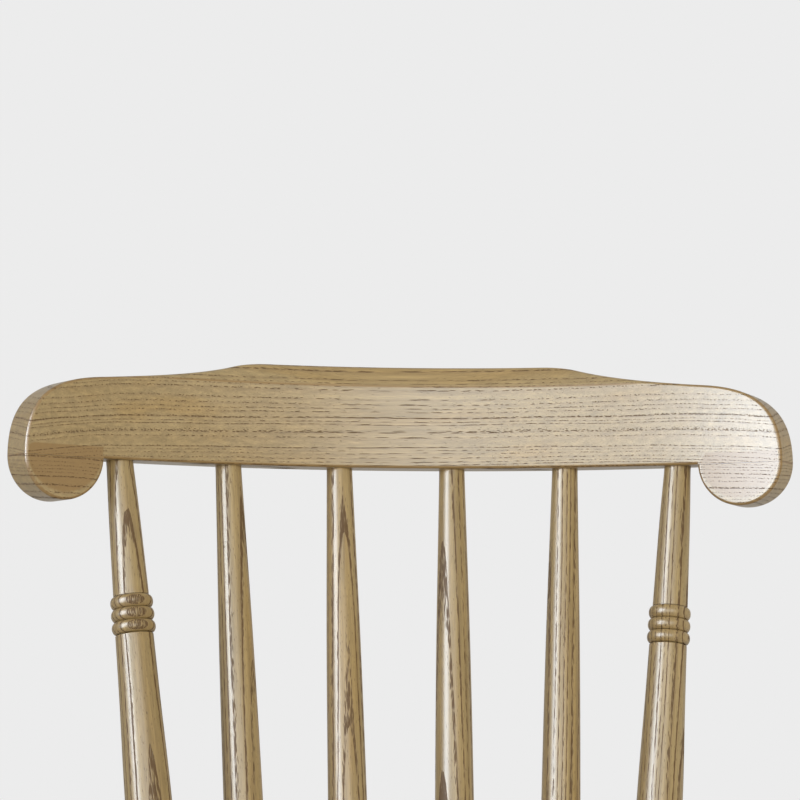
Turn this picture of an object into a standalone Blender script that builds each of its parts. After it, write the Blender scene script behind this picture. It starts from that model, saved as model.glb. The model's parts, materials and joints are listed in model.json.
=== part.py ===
"""Rocking chair in ash, built from its real pieces.

The chair stands on its two rockers with +Z up and its front towards -Y. X = 0 is its middle plane, Z = 0
is the floor, and Y = 0 is halfway along the rockers, where they touch the floor. Left and right are the
sitter's, so left is +X. All sizes are metres.
"""

import math

import bmesh
import bpy
from mathutils import Vector

# Clearance between two pieces that touch.
GAP = 0.0003

# Sides on a round piece: heavy turnings, slim turnings, pins and screws, and the bolts' hexagon sockets.
HEAVY_SIDES = 14
SLIM_SIDES = 12
PIN_SIDES = 8
HEX_SIDES = 6

# Finishes: (name, colour, roughness, metallic).
ASH = ("ash", (0.50, 0.40, 0.25), 0.42, 0.0)
STEEL = ("zinc_steel", (0.62, 0.62, 0.60), 0.35, 1.0)

# Crest rail, sawn to a curve from a thick board. Lengths run along its curved front face from the middle, and
# heights run up that face from the rail's underside.
CREST_FOOT = Vector((0.0, 0.3115, 0.9875))
CREST_RECLINE = math.radians(11.0)
CREST_RADIUS = 0.490
CREST_THICKNESS = 0.027
CREST_HALF_LENGTH = 0.298
CREST_MIDDLE_HEIGHT = 0.0795
CREST_SHOULDER_HEIGHT = 0.0609
CREST_SHOULDER_START = 0.236
CREST_SHOULDER_SLOPE = 0.09
CREST_RISE_END = 0.126
CREST_RISE_SLOPE = 0.29
CREST_TOP_HALF_LENGTH = 0.100
CREST_ROLL_START = 0.0635
CREST_ROLL_DEPTH = 0.009
EAR_RADIUS = 0.0329
EAR_CENTRE_HEIGHT = 0.0008

# Back posts and spindles, in pairs from the middle outwards. The last pair is the posts.
SPINDLE_PITCH = 0.0855
SEAT_SOCKET_SPREAD = (0.035, 0.1015, 0.152)
SEAT_SOCKET_ARC = 0.34
SEAT_SOCKET_BACK = 0.180
CREST_HOUSING = 0.006
CREST_TENON_LENGTH = 0.028
CREST_TENON_RADIUS = 0.007
SEAT_TENON_LENGTH = 0.026
SPINDLE_FOOT_RADIUS = 0.0085
SPINDLE_HEAD_RADIUS = 0.0099
SPINDLE_BELLY_RADIUS = 0.0150
SPINDLE_BELLY_HEIGHT = 0.310
SPINDLE_LOWER_BODY = (0.100, 0.0112)
SPINDLE_UPPER_BODY = ((0.250, 0.01455), (0.141, 0.01305), (0.040, 0.01075))
POST_FOOT_RADIUS = 0.0120
POST_HEAD_RADIUS = 0.0101
POST_NECK_RADIUS = 0.0134
POST_BELLY_RADIUS = 0.0185
POST_BELLY_HEIGHT = 0.250
POST_BODY_BELOW_CREST = (0.247, 0.0169)
POST_NECK_BELOW_CREST = (0.040, 0.0115)
POST_BEADS_BELOW_CREST = 0.1065
POST_LOWER_BEADS_HEIGHT = 0.070
BEAD_HEIGHT = 0.0094
BEAD_PROUD = 0.0018
BEADS_IN_A_SET = 3
CREST_PIN_RADIUS = 0.0025
CREST_PIN_LENGTH = 0.019
CREST_PIN_HEIGHT = 0.019

# Seat. Its own frame has its origin in the middle of its flat top, tipped back by the tilt.
SEAT_CENTRE = Vector((0.0, -0.0685, 0.410))
SEAT_TILT = math.radians(5.0)
SEAT_THICKNESS = 0.040
SEAT_HALF_WIDTH = 0.237
SEAT_HALF_DEPTH = 0.220
SEAT_TAPER = 0.13
SEAT_SQUARENESS = 3.0
SEAT_DISH_DEPTH = 0.012
SEAT_DISH_CENTRE = -0.035
SEAT_DISH_HALF_WIDTH = 0.185
SEAT_DISH_HALF_DEPTH = 0.150
THIGH_HOLLOW_DEPTH = 0.008
THIGH_HOLLOW_SPREAD = 0.100
THIGH_HOLLOW_SIZE = 0.060
SEAT_OUTLINE_POINTS = 40

# Arms. Their plan lies in a plane that rises towards the front.
ARM_HEIGHT = 0.212
ARM_THICKNESS = 0.024
ARM_RISE = math.radians(4.0)
ARM_REAR_WIDTH = 0.034
ARM_MIDDLE_WIDTH = 0.044
ARM_HAND_WIDTH = 0.064
ARM_START = 0.006
ARM_BOW_REACH = 0.080
ARM_BOW_SPREAD = 0.226
ARM_HAND_BOW_SPREAD = 0.262
ARM_HAND_SPREAD = 0.256
ARM_HAND_REACH = 0.350
ARM_EDGE_RADIUS = 0.005
ARM_SCREW_RADIUS = 0.0024
ARM_SCREW_HEAD_RADIUS = 0.0045
ARM_SCREW_HEAD_HEIGHT = 0.003
ARM_SCREW_LENGTH = 0.060
ARM_PLUG_RADIUS = 0.0052
ARM_PLUG_LENGTH = 0.006

# What holds an arm up: (name, seat place, share of the way along the arm), from the front.
ARM_SUPPORTS = (
    ("arm_post", (0.213, -0.100), 0.93),
    ("arm_spindle_front", (0.208, -0.010), 0.66),
    ("arm_spindle_rear", (0.195, 0.070), 0.42),
)
ARM_TENON_LENGTH = 0.014
ARM_TENON_RADIUS = 0.0080
ARM_SPINDLE_TENON_RADIUS = 0.0065
ARM_POST_BELLY_RADIUS = 0.0150
ARM_SPINDLE_BELLY_RADIUS = 0.0100

# Legs: (seat place, foot place along the rocker) for the front and rear pair.
FRONT_LEG_SEAT = (0.175, -0.140)
REAR_LEG_SEAT = (0.150, 0.080)
FRONT_LEG_FOOT = -0.265
REAR_LEG_FOOT = 0.126
LEG_TENON_LENGTH = 0.022
LEG_TENON_RADIUS = 0.0130
LEG_BELLY_RADIUS = 0.0190
LEG_FOOT_RADIUS = 0.0145
LEG_ANKLE = (0.050, 0.0160)
LEG_NECK_RADIUS = 0.0158
LEG_SHOULDER = (0.86, 0.0168)
LEG_BELLY_SHARE = 0.42
LEG_BEADS_SHARE = 0.66

# Stretchers: radius at the ends and in the middle, and how deep they go into a leg.
STRETCHER_END_RADIUS = 0.0075
STRETCHER_BELLY_RADIUS = 0.0115
FRONT_STRETCHER_BELLY_RADIUS = 0.0150
FRONT_STRETCHER_SWELL = (0.28, 0.0135)
STRETCHER_TENON_LENGTH = 0.014
FRONT_STRETCHER_HEIGHTS = (0.190, 0.285)
SIDE_STRETCHER_HEIGHTS = (0.155, 0.240)
REAR_STRETCHER_HEIGHT = 0.200

# Rockers.
ROCKER_RADIUS = 1.100
ROCKER_HALF_LENGTH = 0.410
ROCKER_SPREAD = 0.232
ROCKER_THICKNESS = 0.030
ROCKER_DEPTH = 0.048
ROCKER_TIP_DEPTH = 0.034
ROCKER_FACETS = 21

# Rocker bolts and their barrel nuts.
BOLT_RADIUS = 0.0030
BOLT_HOLE_RADIUS = 0.0034
BOLT_HEAD_RADIUS = 0.0050
BOLT_HEAD_HEIGHT = 0.0060
BOLT_HEAD_DEPTH = 0.006
BOLT_KEY_RADIUS = 0.0029
BOLT_KEY_DEPTH = 0.003
BOLT_POCKET_RADIUS = 0.0062
BARREL_RADIUS = 0.0050
BARREL_LENGTH = 0.0160
BARREL_HEIGHT = 0.042
BARREL_INSET = 0.003
BOLT_PAST_BARREL = 0.009

SIDES = (("left", 1), ("right", -1))


# ---------------------------------------------------------------- materials and objects


def principled(piece_name, finish):
    """A plain shader of its own for one piece."""
    finish_name, colour, roughness, metallic = finish
    material = bpy.data.materials.new(f"{piece_name}_{finish_name}")
    material.use_nodes = True
    shader = material.node_tree.nodes["Principled BSDF"]
    shader.inputs["Base Color"].default_value = (*colour, 1.0)
    shader.inputs["Roughness"].default_value = roughness
    shader.inputs["Metallic"].default_value = metallic
    material.diffuse_color = (*colour, 1.0)
    return material


def clear_scene():
    for obj in list(bpy.data.objects):
        bpy.data.objects.remove(obj)


def mesh_object(name, bm, finish=ASH):
    """Turns a finished bmesh into a linked object, smooth where its faces meet gently."""
    bmesh.ops.recalc_face_normals(bm, faces=bm.faces)
    mesh = bpy.data.meshes.new(name)
    bm.to_mesh(mesh)
    bm.free()
    mesh.shade_smooth()
    mesh.set_sharp_from_angle(angle=math.radians(35))
    mesh.materials.append(principled(name, finish))
    obj = bpy.data.objects.new(name, mesh)
    bpy.context.scene.collection.objects.link(obj)
    return obj


def stand_between(obj, foot, head):
    """Puts a piece made along +Z with its origin at foot, pointing at head."""
    obj.location = foot
    obj.rotation_mode = "QUATERNION"
    obj.rotation_quaternion = (head - foot).to_track_quat("Z", "Y")
    return obj


def turned_bmesh(profile, sides):
    """The solid that (height, radius) pairs sweep around +Z, closed flat at both ends."""
    bm = bmesh.new()
    outline = [(profile[0][0], 0.0), *profile, (profile[-1][0], 0.0)]
    verts = [bm.verts.new((radius, 0.0, height)) for height, radius in outline]
    edges = [bm.edges.new(pair) for pair in zip(verts, verts[1:])]
    bmesh.ops.spin(
        bm, geom=verts + edges, cent=(0, 0, 0), axis=(0, 0, 1), angle=2 * math.pi, steps=sides, use_merge=True
    )
    bmesh.ops.remove_doubles(bm, verts=bm.verts, dist=1e-6)
    return bm


def turned(name, profile, foot, head, sides=HEAVY_SIDES, finish=ASH):
    """A lathe-turned piece whose height 0 is at foot and whose axis points at head."""
    return stand_between(mesh_object(name, turned_bmesh(profile, sides), finish), foot, head)


def hide_as_cutter(obj):
    obj.hide_render = True
    obj.display_type = "WIRE"
    return obj


def cut(piece, cutter):
    """Takes the cutter's shape out of the piece."""
    modifier = piece.modifiers.new(cutter.name, "BOOLEAN")
    modifier.operation = "DIFFERENCE"
    modifier.solver = "EXACT"
    modifier.object = cutter


def bore(piece, profile, foot, head, sides=HEAVY_SIDES):
    """Bores a stepped round hole, given as a turned profile on the axis from foot towards head."""
    name = f"{piece.name}_bore_{len(piece.modifiers)}"
    cutter = turned(name, profile, foot, head, sides)
    cut(piece, hide_as_cutter(cutter))


# ---------------------------------------------------------------- curves


def bezier(p0, p1, p2, p3, count):
    """Points of a cubic curve, with its first point and without its last."""
    points = []
    for step in range(count):
        t = step / count
        s = 1.0 - t
        weights = (s**3, 3 * s * s * t, 3 * s * t * t, t**3)
        points.append(sum((w * Vector(p) for w, p in zip(weights, (p0, p1, p2, p3))), Vector(p0) * 0.0))
    return points


def ease(share):
    """Runs from 0 to 1 with level ends."""
    share = min(1.0, max(0.0, share))
    return share * share * (3.0 - 2.0 * share)


def smooth_profile(points, steps):
    """A smooth curve through (height, radius) points, with steps points in each span."""
    slopes = []
    for index in range(len(points)):
        before = points[max(0, index - 1)]
        after = points[min(len(points) - 1, index + 1)]
        slopes.append((after[1] - before[1]) / (after[0] - before[0]))
    curve = []
    for (z0, r0), (z1, r1), m0, m1 in zip(points, points[1:], slopes, slopes[1:]):
        span = z1 - z0
        for step in range(steps):
            t = step / steps
            radius = (
                (2 * t**3 - 3 * t**2 + 1) * r0
                + (t**3 - 2 * t**2 + t) * span * m0
                + (3 * t**2 - 2 * t**3) * r1
                + (t**3 - t**2) * span * m1
            )
            curve.append((z0 + t * span, radius))
    curve.append(points[-1])
    return curve


def bead_set(bottom, neck):
    """Three rounded beads on a turning's neck, from the height bottom upwards."""
    points = [(bottom, neck)]
    for index in range(BEADS_IN_A_SET):
        foot = bottom + index * BEAD_HEIGHT
        points += [
            (foot + 0.25 * BEAD_HEIGHT, neck + BEAD_PROUD),
            (foot + 0.75 * BEAD_HEIGHT, neck + BEAD_PROUD),
            (foot + BEAD_HEIGHT, neck),
        ]
    return points


# ---------------------------------------------------------------- places in the chair's frame


def on_crest(along, height, depth=0.0):
    """A point in the crest rail's own frame: along its curve, up its face, and back into its thickness."""
    angle = along / CREST_RADIUS
    radius = CREST_RADIUS + depth
    return Vector((radius * math.sin(angle), radius * math.cos(angle) - CREST_RADIUS, height))


def crest_to_chair(point):
    y = point.y * math.cos(CREST_RECLINE) + point.z * math.sin(CREST_RECLINE)
    z = point.z * math.cos(CREST_RECLINE) - point.y * math.sin(CREST_RECLINE)
    return CREST_FOOT + Vector((point.x, y, z))


def seat_to_chair(x, y, z=0.0):
    tilted_y = y * math.cos(SEAT_TILT) + z * math.sin(SEAT_TILT)
    tilted_z = z * math.cos(SEAT_TILT) - y * math.sin(SEAT_TILT)
    return SEAT_CENTRE + Vector((x, tilted_y, tilted_z))


def back_socket(pair, side):
    """Where a back spindle or post meets the seat's top."""
    spread = SEAT_SOCKET_SPREAD[pair]
    drop = SEAT_SOCKET_ARC - math.sqrt(SEAT_SOCKET_ARC**2 - spread**2)
    return seat_to_chair(side * spread, SEAT_SOCKET_BACK - drop)


def crest_socket(pair, side):
    """Where a back spindle or post meets the crest rail's underside, in the middle of its thickness."""
    return crest_to_chair(on_crest(side * (pair + 0.5) * SPINDLE_PITCH, 0.0, CREST_THICKNESS / 2))


def rocker_centre_height():
    """The height of the rockers' centre of curvature, with the middle facet flat on the floor."""
    return ROCKER_RADIUS * math.cos(rocker_facet_angle() / 2)


def rocker_facet_angle():
    return 2 * math.asin(ROCKER_HALF_LENGTH / ROCKER_RADIUS) / ROCKER_FACETS


def rocker_top_height(y):
    return rocker_centre_height() - math.sqrt((ROCKER_RADIUS - ROCKER_DEPTH) ** 2 - y * y)


def leg_ends(place, foot_y, side):
    """The leg's axis from the rocker's top to the seat's underside."""
    foot = Vector((side * ROCKER_SPREAD, foot_y, rocker_top_height(foot_y)))
    head = seat_to_chair(side * place[0], place[1], -SEAT_THICKNESS)
    return foot, head


def at_height(foot, head, height):
    """The point of a leg's axis at that height above the floor."""
    return foot.lerp(head, (height - foot.z) / (head.z - foot.z))


def post_at_arm(side):
    """Where the arm's middle plane crosses a back post's axis."""
    foot = back_socket(len(SEAT_SOCKET_SPREAD) - 1, side)
    head = crest_socket(len(SEAT_SOCKET_SPREAD) - 1, side)
    return at_height(foot, head, foot.z + ARM_HEIGHT)


def arm_to_chair(x, y, z=0.0):
    """The arm's frame has its origin in the middle plane of the chair, level with the post's axis."""
    origin = post_at_arm(1)
    tilted_y = y * math.cos(ARM_RISE) + z * math.sin(ARM_RISE)
    tilted_z = z * math.cos(ARM_RISE) - y * math.sin(ARM_RISE)
    return Vector((x, origin.y + tilted_y, origin.z + tilted_z))


def arm_line(steps):
    """The arm's centre line in plan, from the back post to the hand end, for the left arm."""
    start = post_at_arm(1)
    line = bezier(
        (start.x, -ARM_START),
        (ARM_BOW_SPREAD, -ARM_BOW_REACH),
        (ARM_HAND_BOW_SPREAD, -0.5 * ARM_HAND_REACH),
        (ARM_HAND_SPREAD, -ARM_HAND_REACH),
        steps,
    )
    return [*line, Vector((ARM_HAND_SPREAD, -ARM_HAND_REACH))]


# ---------------------------------------------------------------- crest rail


def crest_top_line():
    """Half of the rail's top edge as (along, height), from the ear's tip to the middle."""
    ear_start = (CREST_HALF_LENGTH, EAR_CENTRE_HEIGHT)
    shoulder = (CREST_SHOULDER_START, CREST_SHOULDER_HEIGHT)
    rise = (CREST_RISE_END, CREST_MIDDLE_HEIGHT - 0.0032)
    top = (CREST_TOP_HALF_LENGTH, CREST_MIDDLE_HEIGHT)
    ear_pull = 0.66 * (CREST_HALF_LENGTH - CREST_SHOULDER_START)
    rise_pull = 0.36 * (CREST_SHOULDER_START - CREST_RISE_END)
    top_pull = 0.30 * (CREST_RISE_END - CREST_TOP_HALF_LENGTH)
    ear = bezier(
        ear_start,
        (ear_start[0], ear_start[1] + ear_pull),
        (shoulder[0] + ear_pull, shoulder[1] - CREST_SHOULDER_SLOPE * ear_pull),
        shoulder,
        8,
    )
    ogee = bezier(
        shoulder,
        (shoulder[0] - rise_pull, shoulder[1] + CREST_SHOULDER_SLOPE * rise_pull),
        (rise[0] + 0.7 * rise_pull, rise[1] - CREST_RISE_SLOPE * 0.7 * rise_pull),
        rise,
        5,
    )
    corner = bezier(
        rise,
        (rise[0] - top_pull, rise[1] + CREST_RISE_SLOPE * top_pull),
        (top[0] + top_pull, top[1]),
        top,
        3,
    )
    flat = [Vector((top[0] * (1 - step / 3), top[1])) for step in range(4)]
    return ear + ogee + corner + flat


def crest_roll(height):
    """How far the face is rolled back near the top of the rail's middle."""
    reach = (height - CREST_ROLL_START) / (CREST_MIDDLE_HEIGHT - CREST_ROLL_START)
    return CREST_ROLL_DEPTH * max(0.0, reach) ** 1.5


def grid_solid(columns):
    """Closes a strip of equal closed rings, first to last, into a solid."""
    bm = bmesh.new()
    rings = [[bm.verts.new(point) for point in ring] for ring in columns]
    count = len(rings[0])
    for ring, after in zip(rings, rings[1:]):
        for index in range(count):
            following = (index + 1) % count
            bm.faces.new((ring[index], ring[following], after[following], after[index]))
    bm.faces.new(rings[0])
    bm.faces.new(reversed(rings[-1]))
    bmesh.ops.remove_doubles(bm, verts=bm.verts, dist=1e-6)
    return bm


def crest_ring(along, top):
    """One cross-section of the rail: up its front face, and down its back."""
    shares = (0.0, 0.55, 0.78, 0.89, 1.0)
    front = [on_crest(along, share * top, crest_roll(share * top)) for share in shares]
    back = [on_crest(along, share * top, CREST_THICKNESS) for share in reversed(shares)]
    return front + back


def crest_rail():
    half = crest_top_line()
    tops = [(-p.x, p.y) for p in half] + [(p.x, p.y) for p in reversed(half[:-1])]
    rail = mesh_object("crest_rail", grid_solid([crest_ring(*top) for top in tops]))
    rail.location = CREST_FOOT
    rail.rotation_euler = (-CREST_RECLINE, 0.0, 0.0)
    return rail


def ear_block(name, side):
    """The lobe glued under an end of the rail, on the same curve."""
    centre = CREST_HALF_LENGTH - EAR_RADIUS
    start = math.asin((EAR_CENTRE_HEIGHT + GAP) / EAR_RADIUS)
    rings = []
    for step in range(13):
        angle = start + (math.pi - 2 * start) * step / 12
        along = side * (centre + EAR_RADIUS * math.cos(angle))
        low = EAR_CENTRE_HEIGHT - EAR_RADIUS * math.sin(angle)
        rings.append(
            [
                on_crest(along, -GAP),
                on_crest(along, min(low, -2 * GAP)),
                on_crest(along, min(low, -2 * GAP), CREST_THICKNESS),
                on_crest(along, -GAP, CREST_THICKNESS),
            ]
        )
    block = mesh_object(name, grid_solid(rings))
    block.location = CREST_FOOT
    block.rotation_euler = (-CREST_RECLINE, 0.0, 0.0)
    return block


# ---------------------------------------------------------------- back posts and spindles


def spindle_profile(length):
    """A slim back spindle between the seat's top at height 0 and the rail's underside at length."""
    body = smooth_profile(
        [
            (0.006, SPINDLE_FOOT_RADIUS),
            SPINDLE_LOWER_BODY,
            (SPINDLE_BELLY_HEIGHT, SPINDLE_BELLY_RADIUS),
            *((length - below, radius) for below, radius in SPINDLE_UPPER_BODY),
            (length - 0.004, SPINDLE_HEAD_RADIUS),
        ],
        2,
    )
    return with_back_tenons(body, length, SPINDLE_FOOT_RADIUS, SPINDLE_HEAD_RADIUS)


def post_profile(length):
    """A back post: a set of beads below the rail, a long swell, and a second set above the seat."""
    beads_top = length - POST_BEADS_BELOW_CREST
    beads_bottom = beads_top - BEADS_IN_A_SET * BEAD_HEIGHT
    lower_top = POST_LOWER_BEADS_HEIGHT + BEADS_IN_A_SET * BEAD_HEIGHT
    foot = smooth_profile([(0.006, POST_FOOT_RADIUS), (POST_LOWER_BEADS_HEIGHT - 0.002, POST_NECK_RADIUS)], 1)
    swell = smooth_profile(
        [
            (lower_top + 0.002, POST_NECK_RADIUS + 0.0012),
            (POST_BELLY_HEIGHT, POST_BELLY_RADIUS),
            (length - POST_BODY_BELOW_CREST[0], POST_BODY_BELOW_CREST[1]),
            (beads_bottom - 0.002, POST_NECK_RADIUS + 0.0005),
        ],
        2,
    )
    neck = smooth_profile(
        [
            (beads_top + 0.002, POST_NECK_RADIUS),
            (length - POST_NECK_BELOW_CREST[0], POST_NECK_BELOW_CREST[1]),
            (length - 0.004, POST_HEAD_RADIUS),
        ],
        1,
    )
    body = [
        *foot,
        *bead_set(POST_LOWER_BEADS_HEIGHT, POST_NECK_RADIUS + 0.0005),
        *swell,
        *bead_set(beads_bottom, POST_NECK_RADIUS + 0.0005),
        *neck,
    ]
    return with_back_tenons(body, length, POST_FOOT_RADIUS, POST_HEAD_RADIUS)


def with_back_tenons(body, length, foot_radius, head_radius):
    """Adds the end that goes into the seat, and the housed shoulder and tenon that go into the rail."""
    shoulder = length + CREST_HOUSING
    return [
        (-SEAT_TENON_LENGTH, foot_radius),
        *body,
        (shoulder, head_radius),
        (shoulder, CREST_TENON_RADIUS),
        (length + CREST_TENON_LENGTH, CREST_TENON_RADIUS),
    ]


def bore_back_sockets(seat, rail, foot, head, foot_radius, head_radius, sides):
    length = (head - foot).length
    bore(
        seat,
        [(-SEAT_TENON_LENGTH - GAP, foot_radius + GAP), (0.030, foot_radius + GAP)],
        foot,
        head,
        sides,
    )
    bore(
        rail,
        [
            (length - 0.010, head_radius + GAP),
            (length + CREST_HOUSING + GAP, head_radius + GAP),
            (length + CREST_HOUSING + GAP, CREST_TENON_RADIUS + GAP),
            (length + CREST_TENON_LENGTH + GAP, CREST_TENON_RADIUS + GAP),
        ],
        foot,
        head,
        sides,
    )


def back_pieces(seat, rail):
    """The posts and spindles, with their sockets. Returns the posts by side."""
    posts = {}
    number = 0
    order = [(2, -1), (1, -1), (0, -1), (0, 1), (1, 1), (2, 1)]
    for pair, side in order:
        foot = back_socket(pair, side)
        head = crest_socket(pair, side)
        length = (head - foot).length
        is_post = pair == len(SEAT_SOCKET_SPREAD) - 1
        if is_post:
            name = "back_post_left" if side > 0 else "back_post_right"
            posts[side] = turned(name, post_profile(length), foot, head)
            bore_back_sockets(seat, rail, foot, head, POST_FOOT_RADIUS, POST_HEAD_RADIUS, HEAVY_SIDES)
        else:
            number += 1
            turned(f"back_spindle_{number}", spindle_profile(length), foot, head, SLIM_SIDES)
            bore_back_sockets(seat, rail, foot, head, SPINDLE_FOOT_RADIUS, SPINDLE_HEAD_RADIUS, SLIM_SIDES)
    return posts


def crest_pins(rail, posts):
    """A dowel pin from the back of the rail into each post's tenon."""
    along = (len(SEAT_SOCKET_SPREAD) - 0.5) * SPINDLE_PITCH
    for name, side in SIDES:
        back = crest_to_chair(on_crest(side * along, CREST_PIN_HEIGHT, CREST_THICKNESS))
        front = crest_to_chair(on_crest(side * along, CREST_PIN_HEIGHT))
        profile = [(GAP, CREST_PIN_RADIUS), (CREST_PIN_LENGTH, CREST_PIN_RADIUS)]
        turned(f"crest_pin_{name}", profile, back, front, PIN_SIDES)
        hole = [(-0.004, CREST_PIN_RADIUS + GAP), (CREST_PIN_LENGTH + GAP, CREST_PIN_RADIUS + GAP)]
        bore(rail, hole, back, front, PIN_SIDES)
        bore(posts[side], hole, back, front, PIN_SIDES)


# ---------------------------------------------------------------- seat


def seat_outline(inset):
    """The seat's plan, front wider than back, drawn in by inset all round."""
    points = []
    for index in range(SEAT_OUTLINE_POINTS):
        angle = 2 * math.pi * index / SEAT_OUTLINE_POINTS
        power = 2.0 / SEAT_SQUARENESS
        across = math.copysign(abs(math.cos(angle)) ** power, math.cos(angle))
        back = math.copysign(abs(math.sin(angle)) ** power, math.sin(angle))
        half_width = SEAT_HALF_WIDTH * (1.0 - SEAT_TAPER * back) - inset
        points.append((half_width * across, (SEAT_HALF_DEPTH - inset) * back))
    return points


def seat_hollow(x, y):
    """How far the carved top lies below the flat rim."""
    reach = math.hypot(x / SEAT_DISH_HALF_WIDTH, (y - SEAT_DISH_CENTRE) / SEAT_DISH_HALF_DEPTH)
    dish = SEAT_DISH_DEPTH * ease(1.0 - reach)
    across = (abs(x) - THIGH_HOLLOW_SPREAD) / THIGH_HOLLOW_SIZE
    away = math.hypot(across, (y + SEAT_HALF_DEPTH) / (2 * THIGH_HOLLOW_SIZE))
    return dish + THIGH_HOLLOW_DEPTH * ease(1.0 - away)


def seat_slab():
    """The carved seat: rings from the middle of the top, over the edge, to the underside."""
    top_insets = (0.170, 0.125, 0.085, 0.050, 0.026, 0.006)
    edge = ((0.0012, -0.005), (0.0, -0.016), (0.005, -0.029), (0.018, -SEAT_THICKNESS))
    rings = []
    for inset in top_insets:
        rings.append([(x, y, -seat_hollow(x, y)) for x, y in seat_outline(inset)])
    for inset, drop in edge:
        ring = []
        for x, y in seat_outline(inset):
            share = 1.0 + drop / SEAT_THICKNESS
            ring.append((x, y, drop - share * seat_hollow(x, y)))
        rings.append(ring)
    seat = mesh_object("seat", grid_solid(rings))
    seat.location = SEAT_CENTRE
    seat.rotation_euler = (-SEAT_TILT, 0.0, 0.0)
    return seat


# ---------------------------------------------------------------- arms


def arm_plan():
    """The left arm's outline in plan, round at the hand end."""
    line = arm_line(12)
    widths = []
    for index in range(len(line)):
        share = index / (len(line) - 1)
        middle = ARM_REAR_WIDTH + (ARM_MIDDLE_WIDTH - ARM_REAR_WIDTH) * ease(share * 2)
        widths.append(middle + (ARM_HAND_WIDTH - ARM_MIDDLE_WIDTH) * ease((share - 0.35) / 0.6))
    outer, inner = [], []
    for index, point in enumerate(line):
        before = line[max(0, index - 1)]
        after = line[min(len(line) - 1, index + 1)]
        along = (after - before).normalized()
        across = Vector((-along.y, along.x)) * widths[index] / 2
        outer.append(point + across)
        inner.append(point - across)
    centre = line[-1]
    along = (line[-1] - line[-2]).normalized()
    across = Vector((-along.y, along.x)) * widths[-1] / 2
    tip = []
    for step in range(1, 10):
        angle = math.pi * step / 10
        tip.append(centre + across * math.cos(angle) + along * across.length * 0.85 * math.sin(angle))
    return outer + tip + list(reversed(inner))


def arm(name, side):
    bm = bmesh.new()
    lower = [bm.verts.new((side * p.x, p.y, -ARM_THICKNESS / 2)) for p in arm_plan()]
    slab = bmesh.ops.extrude_face_region(bm, geom=[bm.faces.new(lower)])["geom"]
    lifted = [item for item in slab if isinstance(item, bmesh.types.BMVert)]
    bmesh.ops.translate(bm, verts=lifted, vec=(0.0, 0.0, ARM_THICKNESS))
    rims = [e for e in bm.edges if abs(e.verts[0].co.z - e.verts[1].co.z) < 1e-6]
    bmesh.ops.bevel(
        bm, geom=rims, offset=ARM_EDGE_RADIUS, segments=2, profile=0.5, affect="EDGES", material=-1
    )
    piece = mesh_object(name, bm)
    piece.location = arm_to_chair(0.0, 0.0)
    piece.rotation_euler = (-ARM_RISE, 0.0, 0.0)
    foot = back_socket(len(SEAT_SOCKET_SPREAD) - 1, side)
    head = crest_socket(len(SEAT_SOCKET_SPREAD) - 1, side)
    shape = [(z, r + GAP) for z, r in post_profile((head - foot).length) if z > 0.0]
    bore(piece, shape, foot, head)
    return piece


def arm_screw(name, side, piece, post):
    """The screw that holds an arm to its post from behind, and the plug over its head."""
    centre = post_at_arm(side)
    ahead = arm_line(12)[2]
    front = arm_to_chair(side * ahead.x, ahead.y)
    forward = (front - centre).normalized()
    tail = centre - forward * (POST_BELLY_RADIUS - 0.002)
    tip = tail + forward
    head_start = ARM_PLUG_LENGTH + 2 * GAP
    head_end = head_start + ARM_SCREW_HEAD_HEIGHT
    plug = [(GAP, ARM_PLUG_RADIUS), (ARM_PLUG_LENGTH, ARM_PLUG_RADIUS)]
    turned(f"arm_plug_{name}", plug, tail, tip, PIN_SIDES)
    screw = [
        (head_start, ARM_SCREW_HEAD_RADIUS),
        (head_end, ARM_SCREW_RADIUS),
        (ARM_SCREW_LENGTH - 0.006, ARM_SCREW_RADIUS),
        (ARM_SCREW_LENGTH, 0.0004),
    ]
    turned(f"arm_screw_{name}", screw, tail, tip, PIN_SIDES, STEEL)
    pocket = [
        (-0.020, ARM_PLUG_RADIUS + GAP),
        (head_end + GAP, ARM_PLUG_RADIUS + GAP),
        (head_end + GAP, ARM_SCREW_RADIUS + GAP),
        (ARM_SCREW_LENGTH + GAP, ARM_SCREW_RADIUS + GAP),
    ]
    bore(post, pocket, tail, tip, PIN_SIDES)
    bore(piece, pocket[2:], tail, tip, PIN_SIDES)


def arm_support_profile(length, tenon_radius, belly_radius, beads):
    """A short turning between the seat's top at height 0 and the arm's underside at length."""
    bottom = [(-SEAT_TENON_LENGTH, tenon_radius), (0.006, tenon_radius)]
    top = [(length - 0.006, tenon_radius), (length + ARM_TENON_LENGTH, tenon_radius)]
    if not beads:
        belly = [(0.35 * length, belly_radius), (0.55 * length, belly_radius)]
        return [bottom[0], *smooth_profile([bottom[1], *belly, top[0]], 2), top[1]]
    beads_bottom = 0.60 * length
    beads_top = beads_bottom + BEADS_IN_A_SET * BEAD_HEIGHT
    neck = tenon_radius + 0.0022
    lower = smooth_profile([bottom[1], (0.30 * length, belly_radius), (beads_bottom - 0.002, neck)], 2)
    upper = smooth_profile([(beads_top + 0.002, neck), top[0]], 1)
    return [bottom[0], *lower, *bead_set(beads_bottom, neck), *upper, top[1]]


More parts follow.
